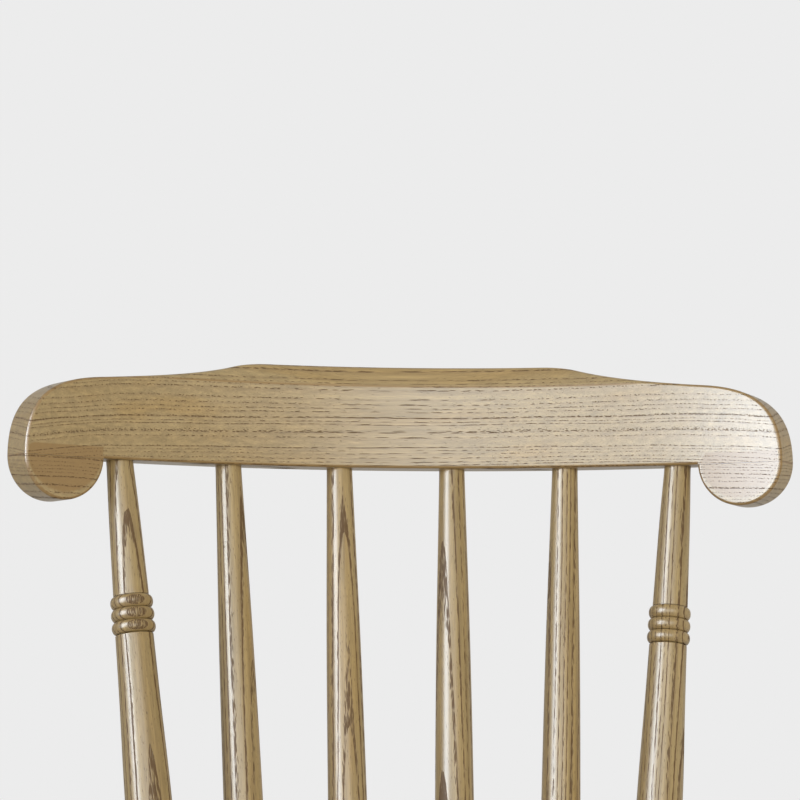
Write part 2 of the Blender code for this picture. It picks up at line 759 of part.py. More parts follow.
def arm_supports(seat, piece, name, side):
    for kind, place, share in ARM_SUPPORTS:
        beads = kind == "arm_post"
        tenon = ARM_TENON_RADIUS if beads else ARM_SPINDLE_TENON_RADIUS
        belly = ARM_POST_BELLY_RADIUS if beads else ARM_SPINDLE_BELLY_RADIUS
        sides = HEAVY_SIDES if beads else SLIM_SIDES
        line = arm_line(100)
        plan = line[round(share * 100)]
        foot = seat_to_chair(side * place[0], place[1])
        head = arm_to_chair(side * plan.x, plan.y, -ARM_THICKNESS / 2)
        length = (head - foot).length
        turned(f"{kind}_{name}", arm_support_profile(length, tenon, belly, beads), foot, head, sides)
        bore(seat, [(-SEAT_TENON_LENGTH - GAP, tenon + GAP), (0.020, tenon + GAP)], foot, head, sides)
        socket = [(length - 0.020, tenon + GAP), (length + ARM_TENON_LENGTH + GAP, tenon + GAP)]
        bore(piece, socket, foot, head, sides)


# ---------------------------------------------------------------- rockers, legs and stretchers


def rocker_side_outline(raise_top=0.0):
    """A rocker seen from the side, as (y, z): the faceted sole from front to rear, and back along its top."""
    centre = rocker_centre_height()
    facet = rocker_facet_angle()
    limit = facet * ROCKER_FACETS / 2
    sole, top = [], []
    for index in range(ROCKER_FACETS + 1):
        angle = -limit + facet * index
        depth = ROCKER_TIP_DEPTH + (ROCKER_DEPTH - ROCKER_TIP_DEPTH) * ease((limit - abs(angle)) / 0.11)
        radius = ROCKER_RADIUS - depth - raise_top
        sole.append((ROCKER_RADIUS * math.sin(angle), centre - ROCKER_RADIUS * math.cos(angle)))
        top.append((radius * math.sin(angle), centre - radius * math.cos(angle)))
    trim = ROCKER_TIP_DEPTH * 0.30
    ends = []
    for sign in (1, -1):
        along = Vector((sign * math.cos(limit), math.sin(limit)))
        low = Vector((sign * abs(sole[0][0]), sole[0][1]))
        high = Vector((sign * abs(top[0][0]), top[0][1]))
        middle = (low + high) / 2
        half = (high - low) / 2
        curve = []
        for step in range(7):
            angle = math.pi * (step / 6 - 0.5)
            curve.append(middle + half * math.sin(angle) + along * (math.cos(angle) - 1.0) * trim)
        ends.append([tuple(p) for p in curve])
    rear, front = ends
    return sole[1:-1] + rear + list(reversed(top[1:-1])) + list(reversed(front))


def rocker_bmesh(side, thickness, raise_top=0.0):
    bm = bmesh.new()
    inner = side * ROCKER_SPREAD - thickness / 2
    face = bm.faces.new([bm.verts.new((inner, y, z)) for y, z in rocker_side_outline(raise_top)])
    slab = bmesh.ops.extrude_face_region(bm, geom=[face])["geom"]
    moved = [item for item in slab if isinstance(item, bmesh.types.BMVert)]
    bmesh.ops.translate(bm, verts=moved, vec=(thickness, 0.0, 0.0))
    return bm


def rocker(name, side):
    return mesh_object(f"rocker_{name}", rocker_bmesh(side, ROCKER_THICKNESS))


def leg_profile(length):
    """A leg between the rocker's top at height 0 and the seat's underside at length."""
    beads_bottom = LEG_BEADS_SHARE * length
    beads_top = beads_bottom + BEADS_IN_A_SET * BEAD_HEIGHT
    lower = smooth_profile(
        [
            (-0.012, LEG_FOOT_RADIUS),
            LEG_ANKLE,
            (LEG_BELLY_SHARE * length, LEG_BELLY_RADIUS),
            (beads_bottom - 0.002, LEG_NECK_RADIUS),
        ],
        2,
    )
    upper = smooth_profile(
        [
            (beads_top + 0.002, LEG_NECK_RADIUS),
            (LEG_SHOULDER[0] * length, LEG_SHOULDER[1]),
            (length - 0.004, LEG_TENON_RADIUS),
        ],
        1,
    )
    beads = bead_set(beads_bottom, LEG_NECK_RADIUS)
    return [*lower, *beads, *upper, (length + LEG_TENON_LENGTH, LEG_TENON_RADIUS)]


def leg(name, place, foot_y, side, seat, runner):
    """One leg on its rocker, with the bolt up through the rocker and the barrel nut that it screws into."""
    foot, head = leg_ends(place, foot_y, side)
    length = (head - foot).length
    piece = turned(name, leg_profile(length), foot, head)
    saddle = mesh_object(f"{name}_saddle", rocker_bmesh(side, 4 * ROCKER_THICKNESS, GAP))
    cut(piece, hide_as_cutter(saddle))
    bore(
        seat,
        [(length - 0.020, LEG_TENON_RADIUS + GAP), (length + LEG_TENON_LENGTH + GAP, LEG_TENON_RADIUS + GAP)],
        foot,
        head,
    )
    rocker_bolt(name, foot, head, side, piece, runner)
    return piece


def rocker_bolt(leg_name, foot, head, side, piece, runner):
    """A socket-head bolt up through the rocker, upright across it, into a barrel nut inside the leg."""
    axis = Vector((0.0, head.y - foot.y, head.z - foot.z)).normalized()
    above = foot + axis
    down = sole_depth(foot, axis)
    head_low = -down + BOLT_HEAD_DEPTH
    head_high = head_low + BOLT_HEAD_HEIGHT
    tip = BARREL_HEIGHT + BOLT_PAST_BARREL
    shank = [
        (head_low, BOLT_HEAD_RADIUS),
        (head_high, BOLT_HEAD_RADIUS),
        (head_high, BOLT_RADIUS),
        (tip, BOLT_RADIUS),
    ]
    bolt = turned(f"rocker_bolt_{leg_name}", shank, foot, above, SLIM_SIDES, STEEL)
    key = [(head_low - BOLT_KEY_DEPTH, BOLT_KEY_RADIUS), (head_low + BOLT_KEY_DEPTH, BOLT_KEY_RADIUS)]
    bore(bolt, key, foot, above, HEX_SIDES)
    pocket = [
        (-2 * down, BOLT_POCKET_RADIUS),
        (head_high + GAP, BOLT_POCKET_RADIUS),
        (head_high + GAP, BOLT_HOLE_RADIUS),
        (BARREL_HEIGHT / 2, BOLT_HOLE_RADIUS),
    ]
    bore(runner, pocket, foot, above, SLIM_SIDES)
    bolt_hole = [(-BARREL_HEIGHT / 2, BOLT_HOLE_RADIUS), (tip + BOLT_PAST_BARREL / 3, BOLT_HOLE_RADIUS)]
    bore(piece, bolt_hole, foot, above, SLIM_SIDES)
    middle = foot + axis * BARREL_HEIGHT
    far = middle + Vector((side * (BARREL_LENGTH / 2 - BARREL_INSET), 0.0, 0.0))
    near = far - Vector((side, 0.0, 0.0))
    barrel = [(0.0, BARREL_RADIUS), (BARREL_LENGTH, BARREL_RADIUS)]
    nut = turned(f"barrel_nut_{leg_name}", barrel, far, near, SLIM_SIDES, STEEL)
    bore(nut, bolt_hole, foot, above, SLIM_SIDES)
    nut_hole = [(-GAP, BARREL_RADIUS + GAP), (3 * BARREL_LENGTH, BARREL_RADIUS + GAP)]
    bore(piece, nut_hole, far, near, SLIM_SIDES)


def sole_depth(foot, axis):
    """How far below foot the leg's axis leaves the rocker's sole."""
    centre = Vector((foot.x, 0.0, rocker_centre_height()))
    start = foot - centre
    direction = Vector((0.0, -axis.y, -axis.z))
    across = Vector((0.0, start.y, start.z))
    a = direction.dot(direction)
    b = 2 * across.dot(direction)
    c = across.dot(across) - ROCKER_RADIUS**2
    return (-b + math.sqrt(b * b - 4 * a * c)) / (2 * a)


def stretcher_profile(length, belly_radius, beads):
    ends = STRETCHER_TENON_LENGTH
    start = [(-ends, STRETCHER_END_RADIUS), (0.004, STRETCHER_END_RADIUS)]
    finish = [(length - 0.004, STRETCHER_END_RADIUS), (length + ends, STRETCHER_END_RADIUS)]
    if not beads:
        swells = ((0.3, 0.9), (0.5, 1.0), (0.7, 0.9))
        middle = [(share * length, swell * belly_radius) for share, swell in swells]
        return [start[0], *smooth_profile([start[1], *middle, finish[0]], 2), finish[1]]
    half_set = BEADS_IN_A_SET * BEAD_HEIGHT / 2
    low, high = 0.5 * length - half_set, 0.5 * length + half_set
    share, swell = FRONT_STRETCHER_SWELL
    left = smooth_profile([start[1], (share * length, swell), (low - 0.002, belly_radius)], 2)
    right = smooth_profile([(high + 0.002, belly_radius), ((1 - share) * length, swell), finish[0]], 2)
    return [start[0], *left, *bead_set(low, belly_radius), *right, finish[1]]


def stretcher(name, first, second, height, beads=False):
    """A rail between two legs, each given as (piece, foot, head), at that height above the floor."""
    from_axis = at_height(first[1], first[2], height)
    to_axis = at_height(second[1], second[2], height)
    along = (to_axis - from_axis).normalized()
    inset = 0.012
    start = from_axis + along * inset
    end = to_axis - along * inset
    length = (end - start).length
    belly = FRONT_STRETCHER_BELLY_RADIUS - 0.002 if beads else STRETCHER_BELLY_RADIUS
    profile = stretcher_profile(length, belly, beads)
    buried = STRETCHER_TENON_LENGTH - inset
    trimmed = [(max(z, -buried), r) if z < 0 else (min(z, length + buried), r) for z, r in profile]
    turned(name, trimmed, start, end, SLIM_SIDES)
    hole = STRETCHER_END_RADIUS + GAP
    bore(first[0], [(-buried - GAP, hole), (0.030, hole)], start, end, SLIM_SIDES)
    bore(second[0], [(length - 0.030, hole), (length + buried + GAP, hole)], start, end, SLIM_SIDES)


def undercarriage(seat):
    legs = {}
    pairs = (("front", FRONT_LEG_SEAT, FRONT_LEG_FOOT), ("rear", REAR_LEG_SEAT, REAR_LEG_FOOT))
    for name, side in SIDES:
        runner = rocker(name, side)
        for kind, place, foot_y in pairs:
            piece = leg(f"{kind}_leg_{name}", place, foot_y, side, seat, runner)
            legs[kind, name] = (piece, *leg_ends(place, foot_y, side))
    front_pair = (legs["front", "left"], legs["front", "right"])
    for word, height in zip(("lower", "upper"), FRONT_STRETCHER_HEIGHTS):
        stretcher(f"front_stretcher_{word}", *front_pair, height, beads=True)
    stretcher("rear_stretcher", legs["rear", "left"], legs["rear", "right"], REAR_STRETCHER_HEIGHT)
    for name, _ in SIDES:
        for word, height in zip(("lower", "upper"), SIDE_STRETCHER_HEIGHTS):
            stretcher(f"side_stretcher_{word}_{name}", legs["front", name], legs["rear", name], height)


# ---------------------------------------------------------------- the chair


def main():
    clear_scene()
    seat = seat_slab()
    rail = crest_rail()
    posts = back_pieces(seat, rail)
    crest_pins(rail, posts)
    for name, side in SIDES:
        ear_block(f"ear_block_{name}", side)
        piece = arm(f"arm_{name}", side)
        arm_screw(name, side, piece, posts[side])
        arm_supports(seat, piece, name, side)
    undercarriage(seat)


main()
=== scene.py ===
"""The looks of the ash rocking chair: smooth turned and shaped pieces in lacquered ash, over the frame.

The chair faces -Y, +Z is up, and left and right are the sitter's, so left is +X. All sizes are metres.
"""

import json
import math

import bmesh
import bpy
import numpy as np
from mathutils import Matrix, Vector

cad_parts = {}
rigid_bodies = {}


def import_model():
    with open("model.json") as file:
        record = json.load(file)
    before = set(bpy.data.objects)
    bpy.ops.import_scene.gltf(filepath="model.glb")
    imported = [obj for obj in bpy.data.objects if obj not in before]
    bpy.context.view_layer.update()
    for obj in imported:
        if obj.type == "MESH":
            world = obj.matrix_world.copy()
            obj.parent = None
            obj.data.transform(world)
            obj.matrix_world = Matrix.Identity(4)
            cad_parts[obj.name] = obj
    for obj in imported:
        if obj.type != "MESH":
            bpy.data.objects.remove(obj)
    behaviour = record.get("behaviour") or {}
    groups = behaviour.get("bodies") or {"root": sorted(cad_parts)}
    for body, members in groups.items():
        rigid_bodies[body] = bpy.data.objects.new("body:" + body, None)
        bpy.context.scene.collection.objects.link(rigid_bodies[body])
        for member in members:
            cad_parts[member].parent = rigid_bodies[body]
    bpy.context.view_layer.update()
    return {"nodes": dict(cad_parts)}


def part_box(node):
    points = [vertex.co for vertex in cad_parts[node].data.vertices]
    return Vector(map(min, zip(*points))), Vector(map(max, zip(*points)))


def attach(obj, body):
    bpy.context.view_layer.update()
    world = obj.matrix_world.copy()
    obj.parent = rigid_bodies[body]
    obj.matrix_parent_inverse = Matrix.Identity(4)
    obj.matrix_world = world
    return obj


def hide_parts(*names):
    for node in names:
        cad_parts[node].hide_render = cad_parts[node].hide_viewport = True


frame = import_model()

SIDES = (("left", 1), ("right", -1))

# ---- Sizes that the visible pieces share with the frame ----

# Crest rail. Lengths run along its curved front face, and heights up that face from the underside.
RAIL_RECLINE = math.radians(11.0)
RAIL_RADIUS = 0.490
RAIL_THICKNESS = 0.027
RAIL_HALF_LENGTH = 0.298
RAIL_HEIGHT = 0.0795
RAIL_EDGE = 0.0024
EDGE_RUN_OUT = 0.0006
SHOULDER_START = 0.236
SHOULDER_HEIGHT = 0.0609
SHOULDER_SLOPE = 0.09
RISE_END = 0.126
RISE_SLOPE = 0.29
RISE_SHORT_OF_TOP = 0.0032
TOP_HALF_LENGTH = 0.100
LEFT_RISE_LONGER = 0.012
ROLL_START = 0.0635
ROLL_DEPTH = 0.009
ROLL_SWEEP = 1.15
EAR_RADIUS = 0.0329
EAR_CENTRE_HEIGHT = 0.0008
GLUE_LINE = 0.00015

# How full each curve of the rail's top edge is, as a share of its length.
EAR_FULLNESS = 0.66
RISE_FULLNESS = 0.36
RISE_HEAD_FULLNESS = 0.7
CORNER_FULLNESS = 0.30

# Ends of the turned pieces that are buried in the seat, the rail and the arms.
SEAT_TENON = 0.026
RAIL_TENON = 0.028
ARM_TENON = 0.014
LEG_TENON = 0.022

# How far a turning goes on into the seat, and into the rail or an arm.
SUNK_IN_SEAT = 0.008
SUNK_IN_TOP = 0.006

# How much of a turning is straight next to the seat, an arm, the rail and a leg.
NEAR_SEAT = 0.006
NEAR_ARM = 0.006
NEAR_RAIL = 0.004
NEAR_LEG = 0.004

# Beads on a turning.
BEAD_HEIGHT = 0.0094
BEADS = 3
BEAD_SET = BEADS * BEAD_HEIGHT
BEAD_QUIRK = 0.0009
BEAD_GAP = 0.001
BEAD_PROUD = 0.0018

# Back spindles, as (height, radius) up from the seat and (depth, radius) down from the rail.
SPINDLE_FOOT_RADIUS = 0.0085
SPINDLE_HEAD_RADIUS = 0.0099
SPINDLE_UP = ((0.100, 0.0112), (0.310, 0.0150))
SPINDLE_DOWN = ((0.250, 0.01455), (0.141, 0.01305), (0.040, 0.01075))

# Back posts, in the same way. The beads are a little lower on the left post and higher on the right one.
POST_FOOT_RADIUS = 0.0120
POST_HEAD_RADIUS = 0.0101
POST_UNDER_LOW_BEADS = 0.0135
POST_LOW_BEAD_CORE = 0.0138
POST_OVER_LOW_BEADS = 0.0144
POST_UNDER_TOP_BEADS = 0.0141
POST_TOP_BEAD_CORE = 0.0137
POST_OVER_TOP_BEADS = 0.0132
POST_BEAD_PROUD = 0.0021
POST_BEAD_GROWTH = 0.0002
POST_LOW_BEADS = 0.070
POST_BEADS_BELOW_RAIL = 0.1065
POST_BEADS_OFF = 0.0033
POST_SWELL_UP = (0.250, 0.0185)
POST_SWELL_DOWN = ((0.247, 0.0169), (0.178, 0.0150))
POST_SHOULDER_DOWN = (0.040, 0.0115)

# Arm posts and arm spindles, with heights as shares of the length.
ARM_POST_RADIUS = 0.0080
ARM_POST_BELLY = (0.30, 0.0150)
ARM_POST_NECK = 0.0102
ARM_POST_BEADS = 0.60
ARM_SPINDLE_RADIUS = 0.0065
ARM_SPINDLE_BELLY = 0.0100
ARM_SPINDLE_BELLY_ENDS = (0.35, 0.55)

# Legs, with heights as shares of the length, apart from the ankle's.
LEG_FOOT = (-0.012, 0.0145)
LEG_ANKLE = (0.050, 0.0160)
LEG_BELLY = (0.42, 0.0190)
LEG_BEADS = 0.66
LEG_NECK = 0.0158
LEG_SHOULDER = (0.86, 0.0168)
LEG_HEAD_RADIUS = 0.0130
LEG_ON_ROCKER = 0.0002

# Stretchers, with heights as shares of the length.
STRETCHER_RADIUS = 0.0075
PLAIN_SWELL = ((0.3, 0.0103), (0.5, 0.0115), (0.7, 0.0103))
BEADED_SWELL = 0.0135
BEADED_SWELL_AT = 0.28
BEADED_NECK = 0.0130

# Seat.
SEAT_TILT = math.radians(5.0)
SEAT_THICKNESS = 0.040
SEAT_HALF_WIDTH = 0.237
SEAT_HALF_DEPTH = 0.220
SEAT_TAPER = 0.13
SEAT_SQUARENESS = 3.0
SEAT_TOP_ROUND = 0.009
SEAT_UNDER_ROUND = 0.018
SEAT_RIM_BEHIND_MIDDLE = 0.0014
DISH_DEPTH = 0.012
DISH_CENTRE = -0.035
DISH_HALF_WIDTH = 0.185
DISH_HALF_DEPTH = 0.150
THIGH_DEPTH = 0.008
THIGH_SPREAD = 0.100
THIGH_SIZE = 0.060

# Arms.
ARM_HEIGHT = 0.212
ARM_THICKNESS = 0.024
ARM_RISE = math.radians(4.0)
ARM_REAR_WIDTH = 0.034
ARM_MIDDLE_WIDTH = 0.044
ARM_HAND_WIDTH = 0.064
ARM_HAND_STARTS, ARM_HAND_RUN = 0.35, 0.6
ARM_HAND_ROUNDNESS = 0.85
ARM_HAND_SPREAD = 0.256
ARM_HAND_REACH = 0.350
ARM_BOW = ((0.226, -0.080), (0.262, -0.175))
ARM_EDGE = 0.0075
ARM_SQUARE_BY_POST = 0.012
COPE_CLEARANCE = 0.0002

# Rockers.
ROCKER_RADIUS = 1.100
ROCKER_THICKNESS = 0.030
ROCKER_DEPTH = 0.048
ROCKER_TIP_DEPTH = 0.034
ROCKER_TIP_TAPER = 0.11
ROCKER_TIP_ROUND = 0.30
ROCKER_TIP_STARTS = 0.9
ROCKER_EDGE = 0.004

# How finely the curves are cut.
CURVE_STEPS = 10
BEAD_STEPS = 12
LATHE_SIDES = 48
TOP_EDGE_STEPS = (60, 40, 16)
RAIL_STEPS = 90
RAIL_EDGE_STEPS = 5
PLAIN_ROWS = 6
ROLL_ROWS = 8
EAR_STEPS = 56
EAR_COLUMNS = 16
SEAT_CELLS = 72
SEAT_EDGE_STEPS = 6
ARM_STEPS = 48
ARM_TIP_STEPS = 32
ARM_EDGE_STEPS = 6
COPE_STEPS = 16
ROCKER_STEPS = 120
ROCKER_ROWS = 4
ROCKER_EDGE_STEPS = 4

# How close points are that are one point, or that a cut or a check takes for one, how square to an axis a
# flat face is, and how sharp an edge is that is shaded as one.
SAME_PLACE = 1e-6
NEARLY = 1e-5
FLAT = 0.99
SHARP = math.radians(38.0)

X, Y, Z = range(3)

# ---- Shaping helpers ----

def ease(share):
    """Runs from 0 to 1 with level ends."""
    share = min(1.0, max(0.0, share))
    return share * share * (3.0 - 2.0 * share)

def bezier(p0, p1, p2, p3, steps):
    """Points along a cubic curve, both ends included."""
    points = []
    for step in range(steps + 1):
        t = step / steps
        s = 1.0 - t
        weights = (s**3, 3 * s * s * t, 3 * s * t * t, t**3)
        points.append(sum((w * Vector(p) for w, p in zip(weights, (p0, p1, p2, p3))), Vector((0.0, 0.0))))
    return points

def flowing(points):
    """A smooth curve through a turner's few (height, radius) points."""
    slopes = []
    for index in range(len(points)):
        before = points[max(0, index - 1)]
        after = points[min(len(points) - 1, index + 1)]
        slopes.append((after[1] - before[1]) / (after[0] - before[0]))
    curve = []
    for (z0, r0), (z1, r1), m0, m1 in zip(points, points[1:], slopes, slopes[1:]):
        span = z1 - z0
        for step in range(CURVE_STEPS):
            t = step / CURVE_STEPS
            radius = (
                (2 * t**3 - 3 * t**2 + 1) * r0
                + (t**3 - 2 * t**2 + t) * span * m0
                + (3 * t**2 - 2 * t**3) * r1
                + (t**3 - t**2) * span * m1
            )
            curve.append((z0 + t * span, radius))
    curve.append(points[-1])
    return curve

def beads(bottom, neck, proud, growth=0.0):
    """Rounded beads side by side, cut in at both ends, from the height bottom upwards."""
    points = []
    for index in range(BEADS):
        foot = bottom + index * BEAD_HEIGHT
        crown = proud + growth * (BEADS - 1 - index)
        for step in range(BEAD_STEPS + 1):
            swing = math.pi * step / BEAD_STEPS
            height = foot + BEAD_HEIGHT * (0.5 - 0.5 * math.cos(swing))
            points.append((height, neck - BEAD_QUIRK + (crown + BEAD_QUIRK) * math.sin(swing)))
    apart = [point for before, point in zip(points, points[1:]) if point[0] - before[0] > SAME_PLACE]
    return [points[0], *apart]

def mark_edges_and_grooves(bm):
    """Stores how far the surface turns at each corner: above 0 at an edge, below 0 in a groove."""
    bm.normal_update()
    turn = bm.verts.layers.float.new("turn")
    for vert in bm.verts:
        bends = []
        for edge in vert.link_edges:
            away = vert.co - edge.other_vert(vert).co
            bends.append(vert.normal.dot(away.normalized()))
        vert[turn] = sum(bends) / max(1, len(bends))

def thickened(bm, push, keep=False):
    """Pushes a copy of a flat sheet away from it, and walls the gap."""
    grown = bmesh.ops.extrude_face_region(bm, geom=bm.faces[:], use_keep_orig=keep)["geom"]
    moved = [item for item in grown if isinstance(item, bmesh.types.BMVert)]
    bmesh.ops.translate(bm, verts=moved, vec=push)

def rims(bm, axis):
    """The edges between a slab's flat faces, which are square to the axis, and its sides."""
    found = []
    for edge in bm.edges:
        flat = [abs(face.normal[axis]) > FLAT for face in edge.link_faces]
        if len(flat) == 2 and flat[0] != flat[1]:
            found.append(edge)
    return found

def round_over(bm, edges, radius, steps, clamp=True):
    bmesh.ops.bevel(bm, geom=edges, offset=radius, segments=steps, profile=0.5, affect="EDGES",
                    clamp_overlap=clamp, material=-1)

def finished(node, bm):
    """Makes a piece of a bmesh in the chair's frame, and has it stand for its CAD node."""
    bmesh.ops.remove_doubles(bm, verts=bm.verts, dist=SAME_PLACE)
    bmesh.ops.recalc_face_normals(bm, faces=bm.faces)
    mark_edges_and_grooves(bm)
    mesh = bpy.data.meshes.new(node)
    bm.to_mesh(mesh)
    bm.free()
    mesh.shade_smooth()
    mesh.set_sharp_from_angle(angle=SHARP)
    piece = bpy.data.objects.new(node, mesh)
    bpy.context.scene.collection.objects.link(piece)
    even = piece.modifiers.new("even_shading", "WEIGHTED_NORMAL")
    even.keep_sharp = True
    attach(piece, "root")
    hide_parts(node)
    return piece

def lathe(profile):
    """The solid that (height, radius) pairs sweep around +Z, closed at both ends."""
    bm = bmesh.new()
    outline = [(profile[0][0], 0.0), *profile, (profile[-1][0], 0.0)]
    verts = [bm.verts.new((radius, 0.0, height)) for height, radius in outline]
    edges = [bm.edges.new(pair) for pair in zip(verts, verts[1:])]
    bmesh.ops.spin(bm, geom=verts + edges, cent=(0, 0, 0), axis=(0, 0, 1), angle=2 * math.pi,
                   steps=LATHE_SIDES, use_merge=True)
    bmesh.ops.remove_doubles(bm, verts=bm.verts, dist=SAME_PLACE)
    return bm

def standing(foot, head):
    """The place of a piece made along +Z from foot towards head."""
    return Matrix.Translation(foot) @ (head - foot).to_track_quat("Z", "Y").to_matrix().to_4x4()

def turned(node, profile, foot, head):
    """A turned piece with height 0 at foot, on the axis to head."""
    bm = lathe(profile)
    bm.transform(standing(foot, head))
    return finished(node, bm)

# ---- Places read from the frame ----

# How deep the corners lie that count as one end of a turning, and as one end of a leg, whose ends are coped.
RING_DEPTH = 0.001
LEG_RING_DEPTH = 0.002

def node_points(node):
    """A CAD node's corners, each one once, to the nearest micrometre."""
    return np.unique(np.round([v.co for v in frame["nodes"][node].data.vertices], 6), axis=0)

def longest_way(points):
    """The middle of the points, and the direction in which they spread the most."""
    middle = points.mean(axis=0)
    along = np.linalg.svd(points - middle, full_matrices=False)[2][0]
    return middle, along * (1 if along[np.argmax(np.abs(along))] > 0 else -1)

def end_rings(node):
    """The centres of the flat rings that a turned CAD node ends in, first to last along its longest way."""
    points = node_points(node)
    middle, along = longest_way(points)
    reach = (points - middle) @ along
    low = points[reach < reach.min() + RING_DEPTH].mean(axis=0)
    high = points[reach > reach.max() - RING_DEPTH].mean(axis=0)
    return Vector(low), Vector(high)

def axis_between(node, low_tenon, high_tenon):
    """The two points where a turned node's axis leaves the pieces that hold its ends."""
    low, high = end_rings(node)
    along = (high - low).normalized()
    return low + along * low_tenon, high - along * high_tenon

def middle_of(node):
    low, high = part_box(node)
    return (low + high) / 2

def rail_foot():
    """The middle of the rail's front lower edge."""
    low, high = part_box("crest_rail")
    top = RAIL_THICKNESS * math.cos(RAIL_RECLINE) + RAIL_HEIGHT * math.sin(RAIL_RECLINE)
    return Vector((0.0, high.y - top, low.z + RAIL_THICKNESS * math.sin(RAIL_RECLINE)))

RAIL_FOOT = rail_foot()
RAIL_LEAN = Matrix.Rotation(-RAIL_RECLINE, 3, "X")

def on_rail(along, depth, height):
    """A point of the rail, bent round its curve and leant back, in the chair's frame."""
    angle = along / RAIL_RADIUS
    radius = RAIL_RADIUS + depth
    bent = Vector((radius * math.sin(angle), radius * math.cos(angle) - RAIL_RADIUS, height))
    return RAIL_FOOT + RAIL_LEAN @ bent

def seat_centre():
    """The middle of the seat's flat rim."""
    low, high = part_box("seat")
    drop = SEAT_THICKNESS * math.cos(SEAT_TILT) + (SEAT_HALF_DEPTH - SEAT_UNDER_ROUND) * math.sin(SEAT_TILT)
    return Vector((0.0, (low.y + high.y) / 2 + SEAT_RIM_BEHIND_MIDDLE, low.z + drop))

SEAT_MIDDLE = seat_centre()

# ---- Crest rail and its ears ----

def rail_top_line(side):
    """One half of the rail's top edge as (along, height), from the ear's tip to the middle."""
    longer = LEFT_RISE_LONGER if side > 0 else 0.0
    tip = (RAIL_HALF_LENGTH, EAR_CENTRE_HEIGHT)
    shoulder = (SHOULDER_START, SHOULDER_HEIGHT)
    rise = (RISE_END + longer, RAIL_HEIGHT - RISE_SHORT_OF_TOP)
    top = (TOP_HALF_LENGTH + longer, RAIL_HEIGHT)
    ear_pull = EAR_FULLNESS * (RAIL_HALF_LENGTH - SHOULDER_START)
    foot_pull = RISE_FULLNESS * (SHOULDER_START - rise[0])
    head_pull = RISE_HEAD_FULLNESS * foot_pull
    top_pull = CORNER_FULLNESS * (RISE_END - TOP_HALF_LENGTH)
    ear_steps, rise_steps, corner_steps = TOP_EDGE_STEPS
    over_tip = (tip[0], tip[1] + ear_pull)
    past_shoulder = (shoulder[0] + ear_pull, shoulder[1] - SHOULDER_SLOPE * ear_pull)
    ear = bezier(tip, over_tip, past_shoulder, shoulder, ear_steps)
    rise_foot = (shoulder[0] - foot_pull, shoulder[1] + SHOULDER_SLOPE * foot_pull)
    rise_head = (rise[0] + head_pull, rise[1] - RISE_SLOPE * head_pull)
    ogee = bezier(shoulder, rise_foot, rise_head, rise, rise_steps)
    past_rise = (rise[0] - top_pull, rise[1] + RISE_SLOPE * top_pull)
    corner = bezier(rise, past_rise, (top[0] + top_pull, top[1]), top, corner_steps)
    return ear + ogee[1:] + corner[1:] + [Vector((0.0, RAIL_HEIGHT))]

def even_walk(line, count):
    """Points at even steps along a line of points."""
    steps = [(b - a).length for a, b in zip(line, line[1:])]
    total = sum(steps)
    walked, index, passed = [], 0, 0.0
    for number in range(count + 1):
        target = total * number / count
        while index < len(steps) - 1 and passed + steps[index] < target:
            passed += steps[index]
            index += 1
        share = (target - passed) / steps[index] if steps[index] else 0.0
        walked.append(line[index].lerp(line[index + 1], min(1.0, share)))
    return walked

def rolled_back(depth, height):
    """Rolls the face back towards the top of the rail's raised middle, and leaves the back straight."""
    reach = max(0.0, (height - ROLL_START) / (RAIL_HEIGHT - ROLL_START))
    return depth + ROLL_DEPTH * reach**ROLL_SWEEP * (1.0 - depth / RAIL_THICKNESS)

def board(outline):
    """A flat board of the rail's thickness, sawn to an outline of (along, height) points."""
    bm = bmesh.new()
    bm.faces.new([bm.verts.new((along, 0.0, height)) for along, height in outline])
    thickened(bm, (0.0, RAIL_THICKNESS, 0.0))
    bmesh.ops.recalc_face_normals(bm, faces=bm.faces)
    return bm

def ease_edges(bm, keep):
    """Rounds over a board's front and back edges where keep(middle of the edge) says so."""
    edges = [edge for edge in rims(bm, Y) if keep((edge.verts[0].co + edge.verts[1].co) / 2)]
    round_over(bm, edges, RAIL_EDGE, RAIL_EDGE_STEPS, clamp=False)

def slice_up(bm, places, axis):
    """Cuts right through a board at each of the places along the axis, so that it can bend there."""
    for place in places:
        at, square = Vector(), Vector()
        at[axis], square[axis] = place, 1.0
        everything = bm.verts[:] + bm.edges[:] + bm.faces[:]
        bmesh.ops.bisect_plane(bm, geom=everything, plane_co=at, plane_no=square, dist=NEARLY)

def bend_to_rail(bm):
    for vert in bm.verts:
        along, depth, height = vert.co
        vert.co = on_rail(along, rolled_back(depth, height), height)

def crest_rail():
    right = [(-p.x, p.y) for p in even_walk(rail_top_line(-1), RAIL_STEPS)]
    left = [(p.x, p.y) for p in even_walk(rail_top_line(1), RAIL_STEPS)]
    lobe_start = RAIL_HALF_LENGTH - 2 * EAR_RADIUS
    under = [(RAIL_HALF_LENGTH, 0.0), (lobe_start + EDGE_RUN_OUT, 0.0), (lobe_start, 0.0)]
    under += [(-along, height) for along, height in reversed(under)]
    bm = board(right + left[-2::-1] + under)
    ease_edges(bm, lambda middle: middle.z > GLUE_LINE or abs(middle.x) < lobe_start)
    slice_up(bm, [RAIL_HALF_LENGTH * (n / RAIL_STEPS - 0.5) * 2.0 for n in range(1, RAIL_STEPS)], X)
    crease = [ROLL_START + (RAIL_HEIGHT - ROLL_START) * n / ROLL_ROWS for n in range(-1, ROLL_ROWS)]
    rows = [ROLL_START * n / PLAIN_ROWS for n in range(1, PLAIN_ROWS)]
    slice_up(bm, [*rows, *crease], Z)
    bend_to_rail(bm)
    return finished("crest_rail", bm)

